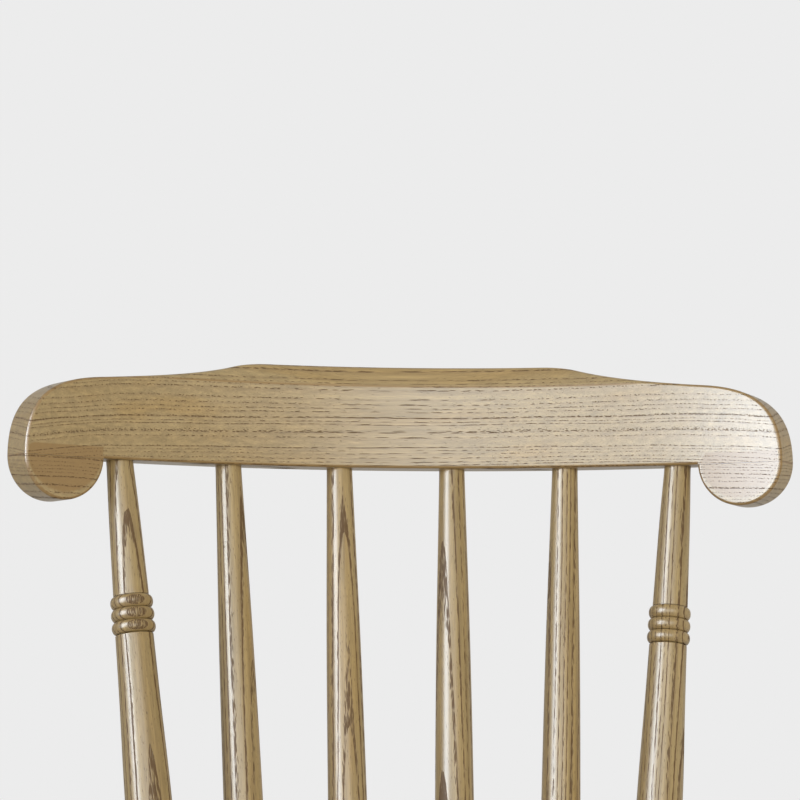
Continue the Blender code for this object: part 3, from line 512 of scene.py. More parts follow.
def ear_block(node, side):
    """The lobe glued under an end of the rail."""
    centre = RAIL_HALF_LENGTH - EAR_RADIUS
    outline = [(side * (centre - EAR_RADIUS), -GLUE_LINE), (side * (centre + EAR_RADIUS), -GLUE_LINE)]
    for step in range(EAR_STEPS + 1):
        swing = math.pi * step / EAR_STEPS
        height = EAR_CENTRE_HEIGHT - EAR_RADIUS * math.sin(swing)
        if height < -3 * GLUE_LINE:
            outline.append((side * (centre + EAR_RADIUS * math.cos(swing)), height))
    bm = board(outline)
    ease_edges(bm, lambda middle: middle.z < -2 * GLUE_LINE)
    shares = [2.0 * n / EAR_COLUMNS - 1.0 for n in range(1, EAR_COLUMNS)]
    slice_up(bm, [side * (centre + EAR_RADIUS * share) for share in shares], X)
    bend_to_rail(bm)
    return finished(node, bm)

# ---- Turned pieces ----

def down_from(length, points):
    """Turns (depth below the head, radius) points into (height, radius) ones."""
    return [(length - depth, radius) for depth, radius in points]

def sunk(body, length):
    """A turning's outline with its ends drawn out into the seat below and the piece above."""
    return [(-SUNK_IN_SEAT, body[0][1]), *body, (length + SUNK_IN_TOP, body[-1][1])]

def back_spindle_profile(length):
    down = down_from(length, (*SPINDLE_DOWN, (NEAR_RAIL, SPINDLE_HEAD_RADIUS)))
    return sunk(flowing([(NEAR_SEAT, SPINDLE_FOOT_RADIUS), *SPINDLE_UP, *down]), length)

def back_post_profile(length, beads_below_rail=POST_BEADS_BELOW_RAIL):
    top_beads = length - beads_below_rail - BEAD_SET
    foot = flowing([(NEAR_SEAT, POST_FOOT_RADIUS), (POST_LOW_BEADS - 2 * BEAD_GAP, POST_UNDER_LOW_BEADS)])
    swell = flowing(
        [
            (POST_LOW_BEADS + BEAD_SET + BEAD_GAP, POST_OVER_LOW_BEADS),
            POST_SWELL_UP,
            *down_from(length, POST_SWELL_DOWN),
            (top_beads - BEAD_GAP, POST_UNDER_TOP_BEADS),
        ]
    )
    over_beads = (beads_below_rail - BEAD_GAP, POST_OVER_TOP_BEADS)
    head = [over_beads, POST_SHOULDER_DOWN, (NEAR_RAIL, POST_HEAD_RADIUS)]
    low = beads(POST_LOW_BEADS, POST_LOW_BEAD_CORE, POST_BEAD_PROUD)
    top = beads(top_beads, POST_TOP_BEAD_CORE, POST_BEAD_PROUD, growth=POST_BEAD_GROWTH)
    return sunk([*foot, *low, *swell, *top, *flowing(down_from(length, head))], length)

def arm_post_profile(length):
    low = ARM_POST_BEADS * length
    belly = (ARM_POST_BELLY[0] * length, ARM_POST_BELLY[1])
    lower = flowing([(NEAR_SEAT, ARM_POST_RADIUS), belly, (low - BEAD_GAP, ARM_POST_NECK)])
    upper = flowing([(low + BEAD_SET + BEAD_GAP, ARM_POST_NECK), (length - NEAR_ARM, ARM_POST_RADIUS)])
    return sunk([*lower, *beads(low, ARM_POST_NECK, BEAD_PROUD), *upper], length)

def arm_spindle_profile(length):
    belly = [(share * length, ARM_SPINDLE_BELLY) for share in ARM_SPINDLE_BELLY_ENDS]
    body = flowing([(NEAR_SEAT, ARM_SPINDLE_RADIUS), *belly, (length - NEAR_ARM, ARM_SPINDLE_RADIUS)])
    return sunk(body, length)

def leg_profile(length):
    low = LEG_BEADS * length
    belly, shoulder = ((share * length, radius) for share, radius in (LEG_BELLY, LEG_SHOULDER))
    lower = flowing([LEG_FOOT, LEG_ANKLE, belly, (low - BEAD_GAP, LEG_NECK)])
    upper = flowing([(low + BEAD_SET + BEAD_GAP, LEG_NECK), shoulder, (length - NEAR_LEG, LEG_HEAD_RADIUS)])
    return [*lower, *beads(low, LEG_NECK, BEAD_PROUD), *upper, (length + SUNK_IN_SEAT, LEG_HEAD_RADIUS)]

def plain_stretcher_profile(length):
    swell = [(share * length, radius) for share, radius in PLAIN_SWELL]
    body = flowing([(NEAR_LEG, STRETCHER_RADIUS), *swell, (length - NEAR_LEG, STRETCHER_RADIUS)])
    return [(0.0, STRETCHER_RADIUS), *body, (length, STRETCHER_RADIUS)]

def beaded_stretcher_profile(length):
    low, high = (length - BEAD_SET) / 2, (length + BEAD_SET) / 2
    swell = BEADED_SWELL_AT * length
    left = flowing([(NEAR_LEG, STRETCHER_RADIUS), (swell, BEADED_SWELL), (low - BEAD_GAP, BEADED_NECK)])
    right = [(length - height, radius) for height, radius in reversed(left)]
    middle = beads(low, BEADED_NECK, BEAD_PROUD)
    return [(0.0, STRETCHER_RADIUS), *left, *middle, *right, (length, STRETCHER_RADIUS)]

def leg_axis(node, rocker_node):
    """A leg's axis from the middle of its rocker's top to the seat's underside."""
    points = node_points(node)
    middle, along = longest_way(points)
    reach = (points - middle) @ along
    end = points[reach > reach.max() - LEG_RING_DEPTH]
    rest = points[reach < reach.max() - LEG_RING_DEPTH]
    rest_reach = (rest - middle) @ along
    shoulder = rest[rest_reach > rest_reach.max() - LEG_RING_DEPTH]
    top, below = Vector(end.mean(axis=0)), Vector(shoulder.mean(axis=0))
    along = (top - below).normalized()
    foot = top + along * ((middle_of(rocker_node).x - top.x) / along.x)
    return foot, top - along * LEG_TENON

def leg(node, foot, head):
    """A leg, cut off where it stands on its rocker."""
    bm = lathe(leg_profile((head - foot).length))
    bm.transform(standing(foot, head))
    slope = foot.y / math.sqrt((ROCKER_RADIUS - ROCKER_DEPTH) ** 2 - foot.y**2)
    upright = Vector((0.0, -slope, 1.0)).normalized()
    cut = bmesh.ops.bisect_plane(
        bm,
        geom=bm.verts[:] + bm.edges[:] + bm.faces[:],
        plane_co=foot + upright * LEG_ON_ROCKER,
        plane_no=upright,
        clear_inner=True,
    )["geom_cut"]
    rim = [item for item in cut if isinstance(item, bmesh.types.BMEdge)]
    bmesh.ops.holes_fill(bm, edges=rim, sides=0)
    return finished(node, bm)

# ---- Seat ----

def seat_hollow(x, y):
    """How far the carved top lies below the flat rim."""
    reach = math.hypot(x / DISH_HALF_WIDTH, (y - DISH_CENTRE) / DISH_HALF_DEPTH)
    away = math.hypot((abs(x) - THIGH_SPREAD) / THIGH_SIZE, (y + SEAT_HALF_DEPTH) / (2 * THIGH_SIZE))
    return DISH_DEPTH * ease(1.0 - reach) + THIGH_DEPTH * ease(1.0 - away)

def seat_plan(across, back, inset):
    """A place on the seat's plan, from the share of the way across and back, drawn in by inset at the rim."""
    half_width = SEAT_HALF_WIDTH * (1.0 - SEAT_TAPER * back) - inset
    return half_width * across, (SEAT_HALF_DEPTH - inset) * back

def seat_edge():
    """The rounded edge as (inset, drop), from just outside the top's rim to the underside."""
    edge = []
    for step in range(1, SEAT_EDGE_STEPS + 1):
        swing = 0.5 * math.pi * step / SEAT_EDGE_STEPS
        edge.append((SEAT_TOP_ROUND * (1.0 - math.sin(swing)), -SEAT_TOP_ROUND * (1.0 - math.cos(swing))))
    edge.append((0.0, -0.5 * (SEAT_TOP_ROUND + SEAT_THICKNESS - SEAT_UNDER_ROUND)))
    for step in range(SEAT_EDGE_STEPS + 1):
        swing = 0.5 * math.pi * step / SEAT_EDGE_STEPS
        drop = -SEAT_THICKNESS + SEAT_UNDER_ROUND * (1.0 - math.sin(swing))
        edge.append((SEAT_UNDER_ROUND * (1.0 - math.cos(swing)), drop))
    return edge

def seat():
    bm = bmesh.new()
    bmesh.ops.create_grid(bm, x_segments=SEAT_CELLS, y_segments=SEAT_CELLS, size=1.0)
    shares = {}
    for vert in bm.verts:
        u, v = vert.co.x, vert.co.y
        squareness = (abs(u) ** SEAT_SQUARENESS + abs(v) ** SEAT_SQUARENESS) ** (1.0 / SEAT_SQUARENESS)
        pull = max(abs(u), abs(v)) / squareness if squareness else 1.0
        shares[vert] = (u * pull, v * pull)
        x, y = seat_plan(*shares[vert], SEAT_TOP_ROUND)
        vert.co = (x, y, -seat_hollow(x, y))
    rim = [edge for edge in bm.edges if edge.is_boundary]
    for inset, drop in seat_edge():
        grown = bmesh.ops.extrude_edge_only(bm, edges=rim)["geom"]
        rim = [item for item in grown if isinstance(item, bmesh.types.BMEdge)]
        fresh = {}
        for vert in (item for item in grown if isinstance(item, bmesh.types.BMVert)):
            old = next(e.other_vert(vert) for e in vert.link_edges if e.other_vert(vert) in shares)
            fresh[vert] = shares[old]
        for vert, share in fresh.items():
            x, y = seat_plan(*share, inset)
            carved = (1.0 + drop / SEAT_THICKNESS) * seat_hollow(x, y)
            vert.co = (x, y, drop - carved)
        shares = fresh
    bmesh.ops.holes_fill(bm, edges=rim, sides=0)
    bm.transform(Matrix.Translation(SEAT_MIDDLE) @ Matrix.Rotation(-SEAT_TILT, 4, "X"))
    return finished("seat", bm)

# ---- Arms ----

def arm_line(start, steps):
    """The left arm's centre line in plan, from the back post's axis to the hand end."""
    return bezier((start, 0.0), ARM_BOW[0], ARM_BOW[1], (ARM_HAND_SPREAD, -ARM_HAND_REACH), steps)

def arm_width(share):
    """The arm's width at a share of the way from the post to the hand end."""
    middle = ARM_REAR_WIDTH + (ARM_MIDDLE_WIDTH - ARM_REAR_WIDTH) * ease(share * 2)
    return middle + (ARM_HAND_WIDTH - ARM_MIDDLE_WIDTH) * ease((share - ARM_HAND_STARTS) / ARM_HAND_RUN)

def arm_outline(start):
    """The left arm's outline in plan, round at the hand end, and open at the post."""
    line = arm_line(start, ARM_STEPS)
    outer, inner, tip = [], [], []
    for index, point in enumerate(line):
        before, after = line[max(0, index - 1)], line[min(ARM_STEPS, index + 1)]
        along = (after - before).normalized()
        across = Vector((-along.y, along.x)) * arm_width(index / ARM_STEPS) / 2
        outer.append(point + across)
        inner.append(point - across)
    forward = along * across.length * ARM_HAND_ROUNDNESS
    for step in range(1, ARM_TIP_STEPS):
        swing = math.pi * step / ARM_TIP_STEPS
        tip.append(line[-1] + across * math.cos(swing) + forward * math.sin(swing))
    return outer, tip, inner

def cope_line(centre, radius, first, last):
    """The hollow that clears a round post, from the first point beside it to the last."""
    swings = [math.atan2(end.y, end.x) for end in (first - centre, last - centre)]
    line = []
    for step in range(COPE_STEPS + 1):
        swing = swings[0] + (swings[1] - swings[0]) * step / COPE_STEPS
        line.append(centre + radius * Vector((math.cos(swing), math.sin(swing))))
    return line

def arm(name, side):
    """An arm, coped round the front of its back post."""
    foot, head = axis_between(f"back_post_{name}", SEAT_TENON, RAIL_TENON)
    crossing = foot.lerp(head, ARM_HEIGHT / (head.z - foot.z))
    place = Matrix.Translation((0.0, crossing.y, crossing.z)) @ Matrix.Rotation(-ARM_RISE, 4, "X")
    lean = place.to_3x3().inverted() @ (head - foot)
    post = back_post_profile((head - foot).length)
    post_radius = next(r for z, r in post if z > (crossing - foot).length) + COPE_CLEARANCE
    centre = Vector((side * crossing.x, 0.0))
    outer, tip, inner = arm_outline(centre.x)
    outer = [p for p in outer if (p - centre).length > post_radius]
    inner = [p for p in inner if (p - centre).length > post_radius]
    outline = outer + tip + inner[::-1] + cope_line(centre, post_radius, inner[0], outer[0])
    bm = bmesh.new()
    bm.faces.new([bm.verts.new((side * p.x, p.y, -ARM_THICKNESS / 2)) for p in outline])
    thickened(bm, (0.0, 0.0, ARM_THICKNESS))
    axis = Vector((crossing.x, 0.0))
    for vert in bm.verts:
        if (vert.co.xy - axis).length < post_radius + NEARLY:
            vert.co.x += lean.x / lean.z * vert.co.z
            vert.co.y += lean.y / lean.z * vert.co.z
    bmesh.ops.recalc_face_normals(bm, faces=bm.faces)
    by_post = {vert for vert in bm.verts if (vert.co.xy - axis).length < post_radius + ARM_SQUARE_BY_POST}
    edges = [edge for edge in rims(bm, Z) if not by_post.issuperset(edge.verts)]
    round_over(bm, edges, ARM_EDGE, ARM_EDGE_STEPS)
    bm.transform(place)
    return finished(f"arm_{name}", bm)

# ---- Rockers ----

def rocker(node):
    """A rocker, sawn from a board to an arc, with rounded tips that taper a little."""
    low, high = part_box(node)
    limit = math.asin(high.y / (ROCKER_RADIUS - ROCKER_TIP_DEPTH / 2))
    bm = bmesh.new()
    bmesh.ops.create_grid(bm, x_segments=ROCKER_STEPS, y_segments=ROCKER_ROWS, size=0.5)
    for vert in bm.verts:
        along, up = vert.co.x + 0.5, vert.co.y + 0.5
        angle = limit * (2.0 * along - 1.0)
        full = ease((limit - abs(angle)) / ROCKER_TIP_TAPER)
        radius = ROCKER_RADIUS - up * (ROCKER_TIP_DEPTH + (ROCKER_DEPTH - ROCKER_TIP_DEPTH) * full)
        rounding = ROCKER_TIP_DEPTH * ROCKER_TIP_ROUND * (2.0 * up - 1.0) ** 2
        near_tip = ease((abs(angle) / limit - ROCKER_TIP_STARTS) / (1.0 - ROCKER_TIP_STARTS))
        angle -= math.copysign(rounding / ROCKER_RADIUS, angle) * near_tip
        vert.co = (low.x, radius * math.sin(angle), ROCKER_RADIUS - radius * math.cos(angle))
    thickened(bm, (ROCKER_THICKNESS, 0.0, 0.0), keep=True)
    bmesh.ops.recalc_face_normals(bm, faces=bm.faces)
    round_over(bm, rims(bm, X), ROCKER_EDGE, ROCKER_EDGE_STEPS)
    return finished(node, bm)

# ---- Helpers for materials ----

class Wiring:
    """Short calls for building a tree of shader nodes."""

    def __init__(self, tree):
        self.nodes = tree.nodes
        self.links = tree.links

    def node(self, kind, **settings):
        made = self.nodes.new("ShaderNode" + kind)
        for key, value in settings.items():
            setattr(made, key, value)
        return made

    def put(self, value, socket):
        if isinstance(value, bpy.types.NodeSocket):
            self.links.new(value, socket)
        else:
            socket.default_value = value

    def math(self, operation, *values, clamp=False):
        made = self.node("Math", operation=operation, use_clamp=clamp)
        for value, socket in zip(values, made.inputs):
            self.put(value, socket)
        return made.outputs[0]

    def vector(self, operation, *values):
        made = self.node("VectorMath", operation=operation)
        for value, socket in zip(values, made.inputs):
            self.put(value, socket)
        return made.outputs[0]

    def ramp(self, value, low, high, to_low=0.0, to_high=1.0):
        made = self.node("MapRange", interpolation_type="SMOOTHSTEP")
        for given, name in (
            (value, "Value"),
            (low, "From Min"),
            (high, "From Max"),
            (to_low, "To Min"),
            (to_high, "To Max"),
        ):
            self.put(given, made.inputs[name])
        return made.outputs["Result"]

    def noise(self, vector, scale, detail=2.0, roughness=0.5):
        made = self.node("TexNoise")
        for given, name in (
            (vector, "Vector"),
            (scale, "Scale"),
            (detail, "Detail"),
            (roughness, "Roughness"),
        ):
            self.put(given, made.inputs[name])
        return made.outputs["Fac"]

    def mix(self, factor, first, second, blend="MIX"):
        made = self.node("Mix", data_type="RGBA", blend_type=blend)
        self.put(factor, made.inputs["Factor"])
        colours = [socket for socket in made.inputs if socket.enabled and socket.type == "RGBA"]
        self.put(first, colours[0])
        self.put(second, colours[1])
        return next(socket for socket in made.outputs if socket.enabled)

    def scaled(self, vector, scale):
        return self.vector("MULTIPLY", vector, scale)

    def length(self, vector):
        made = self.node("VectorMath", operation="LENGTH")
        self.put(vector, made.inputs[0])
        return made.outputs["Value"]

    def chance(self, number):
        """A node that gives every whole number its own random value and colour."""
        made = self.node("TexWhiteNoise", noise_dimensions="1D")
        self.put(number, made.inputs["W"])
        return made.outputs

def new_group(name, inputs, outputs):
    tree = bpy.data.node_groups.new(name, "ShaderNodeTree")
    for label, kind, value in inputs:
        socket = tree.interface.new_socket(name=label, in_out="INPUT", socket_type=kind)
        if value is not None:
            socket.default_value = value
    for label, kind in outputs:
        tree.interface.new_socket(name=label, in_out="OUTPUT", socket_type=kind)
    wiring = Wiring(tree)
    return tree, wiring, tree.nodes.new("NodeGroupInput").outputs, tree.nodes.new("NodeGroupOutput").inputs

def new_finish(name):
    """A material with its wiring, its shader, and the place on the piece that its patterns go by."""
    material = bpy.data.materials.new(name)
    material.use_nodes = True
    wire = Wiring(material.node_tree)
    return material, wire, wire.nodes["Principled BSDF"], wire.node("TexCoord").outputs["Object"]

def add_relief(wire, shader, height, distance):
    relief = wire.node("Bump")
    relief.inputs["Strength"].default_value = 1.0
    relief.inputs["Distance"].default_value = distance
    wire.put(height, relief.inputs["Height"])
    wire.put(relief.outputs[0], shader.inputs["Normal"])

# ---- Ash ----

PALE_ASH = (0.440, 0.322, 0.154, 1.0)
KHAKI_ASH = (0.335, 0.228, 0.085, 1.0)
OCHRE_ASH = (0.400, 0.262, 0.092, 1.0)
LATE_WOOD = (0.260, 0.165, 0.068, 1.0)
PORE_BROWN = (0.115, 0.062, 0.027, 1.0)
# Painted reflection: the darker brown that the rounded edges are coloured, where the lacquer reflects dark.
PAINTED_EDGE_REFLECTION = (0.300, 0.178, 0.058, 1.0)
# Painted shade: the dark brown that grooves and hollows are coloured, where shade falls.
PAINTED_GROOVE_SHADE = (0.070, 0.042, 0.016, 1.0)

# How sharply the surface turns, where flat is 0, at an edge, where the painted dark reflection comes in, and
# in a groove, where the painted shade comes in.
EDGE_STARTS, EDGE_FULL = 0.045, 0.085
GROOVE_STARTS, GROOVE_FULL = -0.04, -0.20

# How often each pattern repeats in a metre, along the grain and both ways across it.
SWAY_PACE = (1.6, 10.0, 10.0)
RIPPLE_PACE = (12.0, 90.0, 90.0)
DRIFT_PACE = (2.6, 20.0, 20.0)
OCHRE_PACE = (2.6, 39.0, 39.0)
STREAK_PACE = (9.0, 330.0, 330.0)
FIBRE_PACE = (60.0, 1500.0, 1500.0)
PORES_ACROSS = 1350.0
YEARS_PACE = 62.0

# How far the year rings stray from true circles.
SWAY = 0.014
RIPPLE = 0.0012
UNEVEN_YEARS = 0.014

# Where in a year, from 0 to 1, the open early wood fades out and the dense late wood comes in.
EARLY_FULL, EARLY_ENDS = 0.10, 0.34
LATE_STARTS, LATE_FULL = 0.50, 1.0
WEAKEST_YEAR = 0.55

# A pore's half width in late and in fully early wood, as a share of a cell, and how much of it is full depth.
LATE_PORE, EARLY_PORE_MORE = 0.13, 0.62
PORE_FLOOR = 0.55
PORE_RELIEF = 0.00022

# How strongly each effect shows, from 0 to 1, the painted shade in the grooves among them, and (spread,
# least) pairs for the light and dark of the fibres.
OCHRE_STARTS, OCHRE_FULL, OCHRE_STRENGTH = 0.52, 0.72, 0.75
LATE_STRENGTH, EARLY_STRENGTH, PORE_STRENGTH, GROOVE_SHADE_STRENGTH = 0.30, 0.32, 0.86, 0.75
FIBRE_SHADE = (0.80, 0.60)
STREAK_SHADE = (0.70, 0.65)
FIBRE_ROUGHNESS = (0.14, 0.36)
PORE_ROUGHNESS = 0.25
PORE_UNLACQUERED = 0.95
FIBRE_RELIEF = 0.35

# Sawn and turned wood: the pores' width and how many there are in a metre, and how strongly a dark reflection
# is painted along the edges.
SAWN = {"Pores": 1.0, "Pore Pitch": 52.0, "Edge Wear": 0.85}
TURNED = {"Pores": 1.35, "Pore Pitch": 120.0, "Edge Wear": 0.12}

# The lacquer's (weight, roughness) on each, and how strongly the wood under it shines by itself.
SAWN_LACQUER = (1.0, 0.35)
TURNED_LACQUER = (0.55, 0.30)
BARE_SHINE = 0.15

# How far the trees of neighbouring boards lie from each other in a glued-up piece.
BOARD_SHIFT = (0.03, 0.9, 0.02)

def grain(wire, place, pace, detail=2.0, roughness=0.5):
    return wire.noise(wire.scaled(place, pace), 1.0, detail, roughness)

def year_rings(wire, place, ring_width):
    """How much early wood and how much late wood there is."""
    sway = wire.math("SUBTRACT", grain(wire, place, SWAY_PACE), 0.5)
    ripple = wire.math("SUBTRACT", grain(wire, place, RIPPLE_PACE), 0.5)
    stray = wire.math("MULTIPLY_ADD", sway, SWAY, wire.math("MULTIPLY", ripple, RIPPLE))
    distance = wire.math("ADD", wire.length(wire.scaled(place, (0.0, 1.0, 1.0))), stray)
    pace = wire.node("TexNoise", noise_dimensions="1D")
    for given, name in ((distance, "W"), (YEARS_PACE, "Scale"), (1.0, "Detail")):
        wire.put(given, pace.inputs[name])
    distance = wire.math("MULTIPLY_ADD", pace.outputs["Fac"], UNEVEN_YEARS, distance)
    years = wire.math("DIVIDE", distance, ring_width)
    luck = wire.chance(wire.math("FLOOR", years))["Value"]
    season = wire.math("FRACT", years)
    strength = wire.math("MULTIPLY_ADD", luck, 1.0 - WEAKEST_YEAR, WEAKEST_YEAR)
    early = wire.math("MULTIPLY", wire.ramp(season, EARLY_ENDS, EARLY_FULL), strength)
    return early, wire.ramp(season, LATE_STARTS, LATE_FULL)

def pores(wire, place, early, width, pitch):
    """Where the long open pores are, which crowd in the early wood."""
    pace = wire.node("CombineXYZ")
    for given, name in ((pitch, "X"), (PORES_ACROSS, "Y"), (PORES_ACROSS, "Z")):
        wire.put(given, pace.inputs[name])
    cells = wire.node("TexVoronoi", voronoi_dimensions="3D", feature="F1")
    cell_place = wire.vector("MULTIPLY", place, pace.outputs[0])
    for given, name in ((cell_place, "Vector"), (1.0, "Scale"), (1.0, "Randomness")):
        wire.put(given, cells.inputs[name])
    half = wire.math("MULTIPLY", wire.math("MULTIPLY_ADD", early, EARLY_PORE_MORE, LATE_PORE), width)
    return wire.ramp(cells.outputs["Distance"], half, wire.math("MULTIPLY", half, PORE_FLOOR))

def ground_colour(wire, place, tone, early, late, fibre):
    """The wood between the pores."""
    drift = wire.math("SUBTRACT", grain(wire, place, DRIFT_PACE, 3.0, 0.55), 0.5)
    colour = wire.mix(wire.math("ADD", tone, drift, clamp=True), KHAKI_ASH, PALE_ASH)
    ochre = wire.ramp(grain(wire, place, OCHRE_PACE), OCHRE_STARTS, OCHRE_FULL, 0.0, OCHRE_STRENGTH)
    colour = wire.mix(ochre, colour, OCHRE_ASH)
    colour = wire.mix(wire.math("MULTIPLY", late, LATE_STRENGTH), colour, LATE_WOOD)
    colour = wire.mix(wire.math("MULTIPLY", early, EARLY_STRENGTH), colour, LATE_WOOD)
    streak = wire.math("MULTIPLY_ADD", grain(wire, place, STREAK_PACE), *STREAK_SHADE)
    shade = wire.math("MULTIPLY", wire.math("MULTIPLY_ADD", fibre, *FIBRE_SHADE), streak)
    grey = wire.node("CombineColor")
    for socket in grey.inputs[:3]:
        wire.put(shade, socket)
    return wire.mix(1.0, colour, grey.outputs[0], "MULTIPLY")

def ash_group():
    """Ash that grows along X, with its pith on the X axis of the coordinates it is given."""
    tree, wire, given, result = new_group(
        "ash_board",
        [
            ("Vector", "NodeSocketVector", None),
            ("Ring Width", "NodeSocketFloat", 0.0042),
            ("Tone", "NodeSocketFloat", 0.5),
            ("Pores", "NodeSocketFloat", SAWN["Pores"]),
            ("Pore Pitch", "NodeSocketFloat", SAWN["Pore Pitch"]),
            ("Edge Wear", "NodeSocketFloat", 0.0),
        ],
        [
            ("Color", "NodeSocketColor"),
            ("Roughness", "NodeSocketFloat"),
            ("Coat", "NodeSocketFloat"),
            ("Height", "NodeSocketFloat"),
        ],
    )
    place = given["Vector"]
    early, late = year_rings(wire, place, given["Ring Width"])
    pore = pores(wire, place, early, given["Pores"], given["Pore Pitch"])
    fibre = grain(wire, place, FIBRE_PACE, 3.0, 0.65)
    colour = ground_colour(wire, place, given["Tone"], early, late, fibre)
    turn = wire.node("Attribute", attribute_name="turn").outputs["Fac"]
    # Painted reflection: colours the rounded edges darker brown, as their dark reflection.
    edge_reflection = wire.math("MULTIPLY", wire.ramp(turn, EDGE_STARTS, EDGE_FULL), given["Edge Wear"])
    colour = wire.mix(edge_reflection, colour, PAINTED_EDGE_REFLECTION)
    colour = wire.mix(wire.math("MULTIPLY", pore, PORE_STRENGTH), colour, PORE_BROWN)
    # Painted shade: colours grooves and hollows darker, where shade falls.
    groove_shade = wire.ramp(turn, GROOVE_STARTS, GROOVE_FULL, 0.0, GROOVE_SHADE_STRENGTH)
    wire.put(wire.mix(groove_shade, colour, PAINTED_GROOVE_SHADE), result["Color"])
    dry = wire.math("MULTIPLY_ADD", fibre, *FIBRE_ROUGHNESS)
    wire.put(wire.math("MULTIPLY_ADD", pore, PORE_ROUGHNESS, dry), result["Roughness"])
    wire.put(wire.math("MULTIPLY_ADD", pore, -PORE_UNLACQUERED, 1.0, clamp=True), result["Coat"])
    wire.put(wire.math("SUBTRACT", wire.math("MULTIPLY", fibre, FIBRE_RELIEF), pore), result["Height"])
    return tree

ASH = ash_group()

def own_board(wire, where, width):
    """Moves the pattern on for each board of that width, so that each one is from its own tree."""
    apart = wire.node("SeparateXYZ")
    wire.put(where, apart.inputs[0])
    number = wire.math("FLOOR", wire.math("DIVIDE", apart.outputs["X"], width))
    return wire.vector("ADD", where, wire.scaled(wire.chance(number)["Color"], BOARD_SHIFT))

def ash_finish(name, along, pith, ring_width, tone=0.5, boards=0.0, cut=SAWN, lacquer=SAWN_LACQUER):
    """Lacquered ash with the grain along that direction, past the pith, glued up of boards of that width."""
    material, wire, shader, where = new_finish(name)
    if boards:
        where = own_board(wire, where, boards)
    turn = wire.node("Mapping", vector_type="TEXTURE")
    wire.put(where, turn.inputs["Vector"])
    turn.inputs["Location"].default_value = pith
    turn.inputs["Rotation"].default_value = Vector(along).to_track_quat("X", "Z").to_euler()
    wood = wire.node("Group", node_tree=ASH)
    wire.put(turn.outputs[0], wood.inputs["Vector"])
    for label, value in {"Ring Width": ring_width, "Tone": tone, **cut}.items():
        wood.inputs[label].default_value = value
    weight, roughness = lacquer
    wire.put(wood.outputs["Color"], shader.inputs["Base Color"])
    wire.put(wood.outputs["Roughness"], shader.inputs["Roughness"])
    wire.put(wire.math("MULTIPLY", wood.outputs["Coat"], weight), shader.inputs["Coat Weight"])
    add_relief(wire, shader, wood.outputs["Height"], PORE_RELIEF)
    shader.inputs["Specular IOR Level"].default_value = BARE_SHINE
    shader.inputs["Coat Roughness"].default_value = roughness
    return material

# ---- Zinc plate ----

DULL_ZINC = (0.50, 0.52, 0.54, 1.0)
BRIGHT_ZINC = (0.72, 0.73, 0.72, 1.0)
SPANGLE_PACE, RUB_PACE = 900.0, 150.0
ZINC_ROUGHNESS = (0.25, 0.22)
ZINC_RELIEF = 0.0001

def zinc_finish():
    """Zinc plate: dull silver, with the faint spangle and rub of a fixing out of the box."""
    material, wire, shader, where = new_finish("zinc_plate")
    spangle = wire.noise(where, SPANGLE_PACE, 3.0)
    rub = wire.noise(where, RUB_PACE)
    wire.put(wire.mix(spangle, DULL_ZINC, BRIGHT_ZINC), shader.inputs["Base Color"])
    wire.put(wire.math("MULTIPLY_ADD", rub, *ZINC_ROUGHNESS), shader.inputs["Roughness"])
    shader.inputs["Metallic"].default_value = 1.0
    add_relief(wire, shader, spangle, ZINC_RELIEF)
    return material

# ---- Putting the chair together ----

# Where each board's pith lay from the piece, which way the grain runs, and how wide the year rings are.
RAIL_PITH, RAIL_GRAIN, RAIL_RINGS = Vector((0.0, -0.075, -0.420)), (1, 0, 0.012), 0.0040
EAR_PITH, EAR_GRAIN, EAR_RINGS = Vector((0.3, -0.120, -0.380)), (1, 0, -0.03), 0.0034
SEAT_PITH, SEAT_GRAIN, SEAT_RINGS = Vector((0.012, 0.0, -0.090)), (0.03, 1, 0.09), 0.0050
ARM_PITH, ARM_GRAIN, ARM_RINGS = (0.03, 0.2, -0.07), (0.12, -1, 0.07), 0.0044
ROCKER_PITH, ROCKER_GRAIN, ROCKER_RINGS = (0.06, 0.0, -0.05), (0, 1, 0.01), 0.0046
PLUG_PITH, PLUG_RINGS = Vector((0.004, 0.003, 0.02)), 0.0016
TURNING_RINGS = 0.0036
EAR_TONE = 0.56
PLUG_TONE = 0.35
SEAT_BOARD = 0.097

# How far a turning's pith lies beside it, and how it moves round and along from each turning to the next.
PITH_ASIDE, PITH_ASIDE_STEP = 0.035, 0.012
PITH_ROUND = 2.4
PITH_ALONG = 0.37

def in_ash(piece, along, pith, ring_width, **finish):
    """Finishes a piece in its own ash."""
    material = ash_finish(piece.name + "_ash", along, pith, ring_width, **finish)
    piece.data.materials.clear()
    piece.data.materials.append(material)

def turning_in_ash(piece, foot, head, number):
    """Finishes a turning in ash split from beside the pith, each one from another side of it."""
    around = PITH_ROUND * number
    aside = Vector((math.cos(around), math.sin(around), 0.0)) * (PITH_ASIDE + PITH_ASIDE_STEP * (number % 3))
    along = (head - foot).normalized()
    pith = foot + aside + along * (PITH_ALONG * number)
    in_ash(piece, along, pith, TURNING_RINGS, cut=TURNED, lacquer=TURNED_LACQUER)

def on_side(side, place):
    """A right-hand place or direction on the side asked for."""
    return Vector((side * place[0], *place[1:]))

def turned_set(nodes, low_tenon, high_tenon, profile, first_number):
    for number, node in enumerate(nodes, first_number):
        foot, head = axis_between(node, low_tenon, high_tenon)
        turning_in_ash(turned(node, profile((head - foot).length), foot, head), foot, head, number)

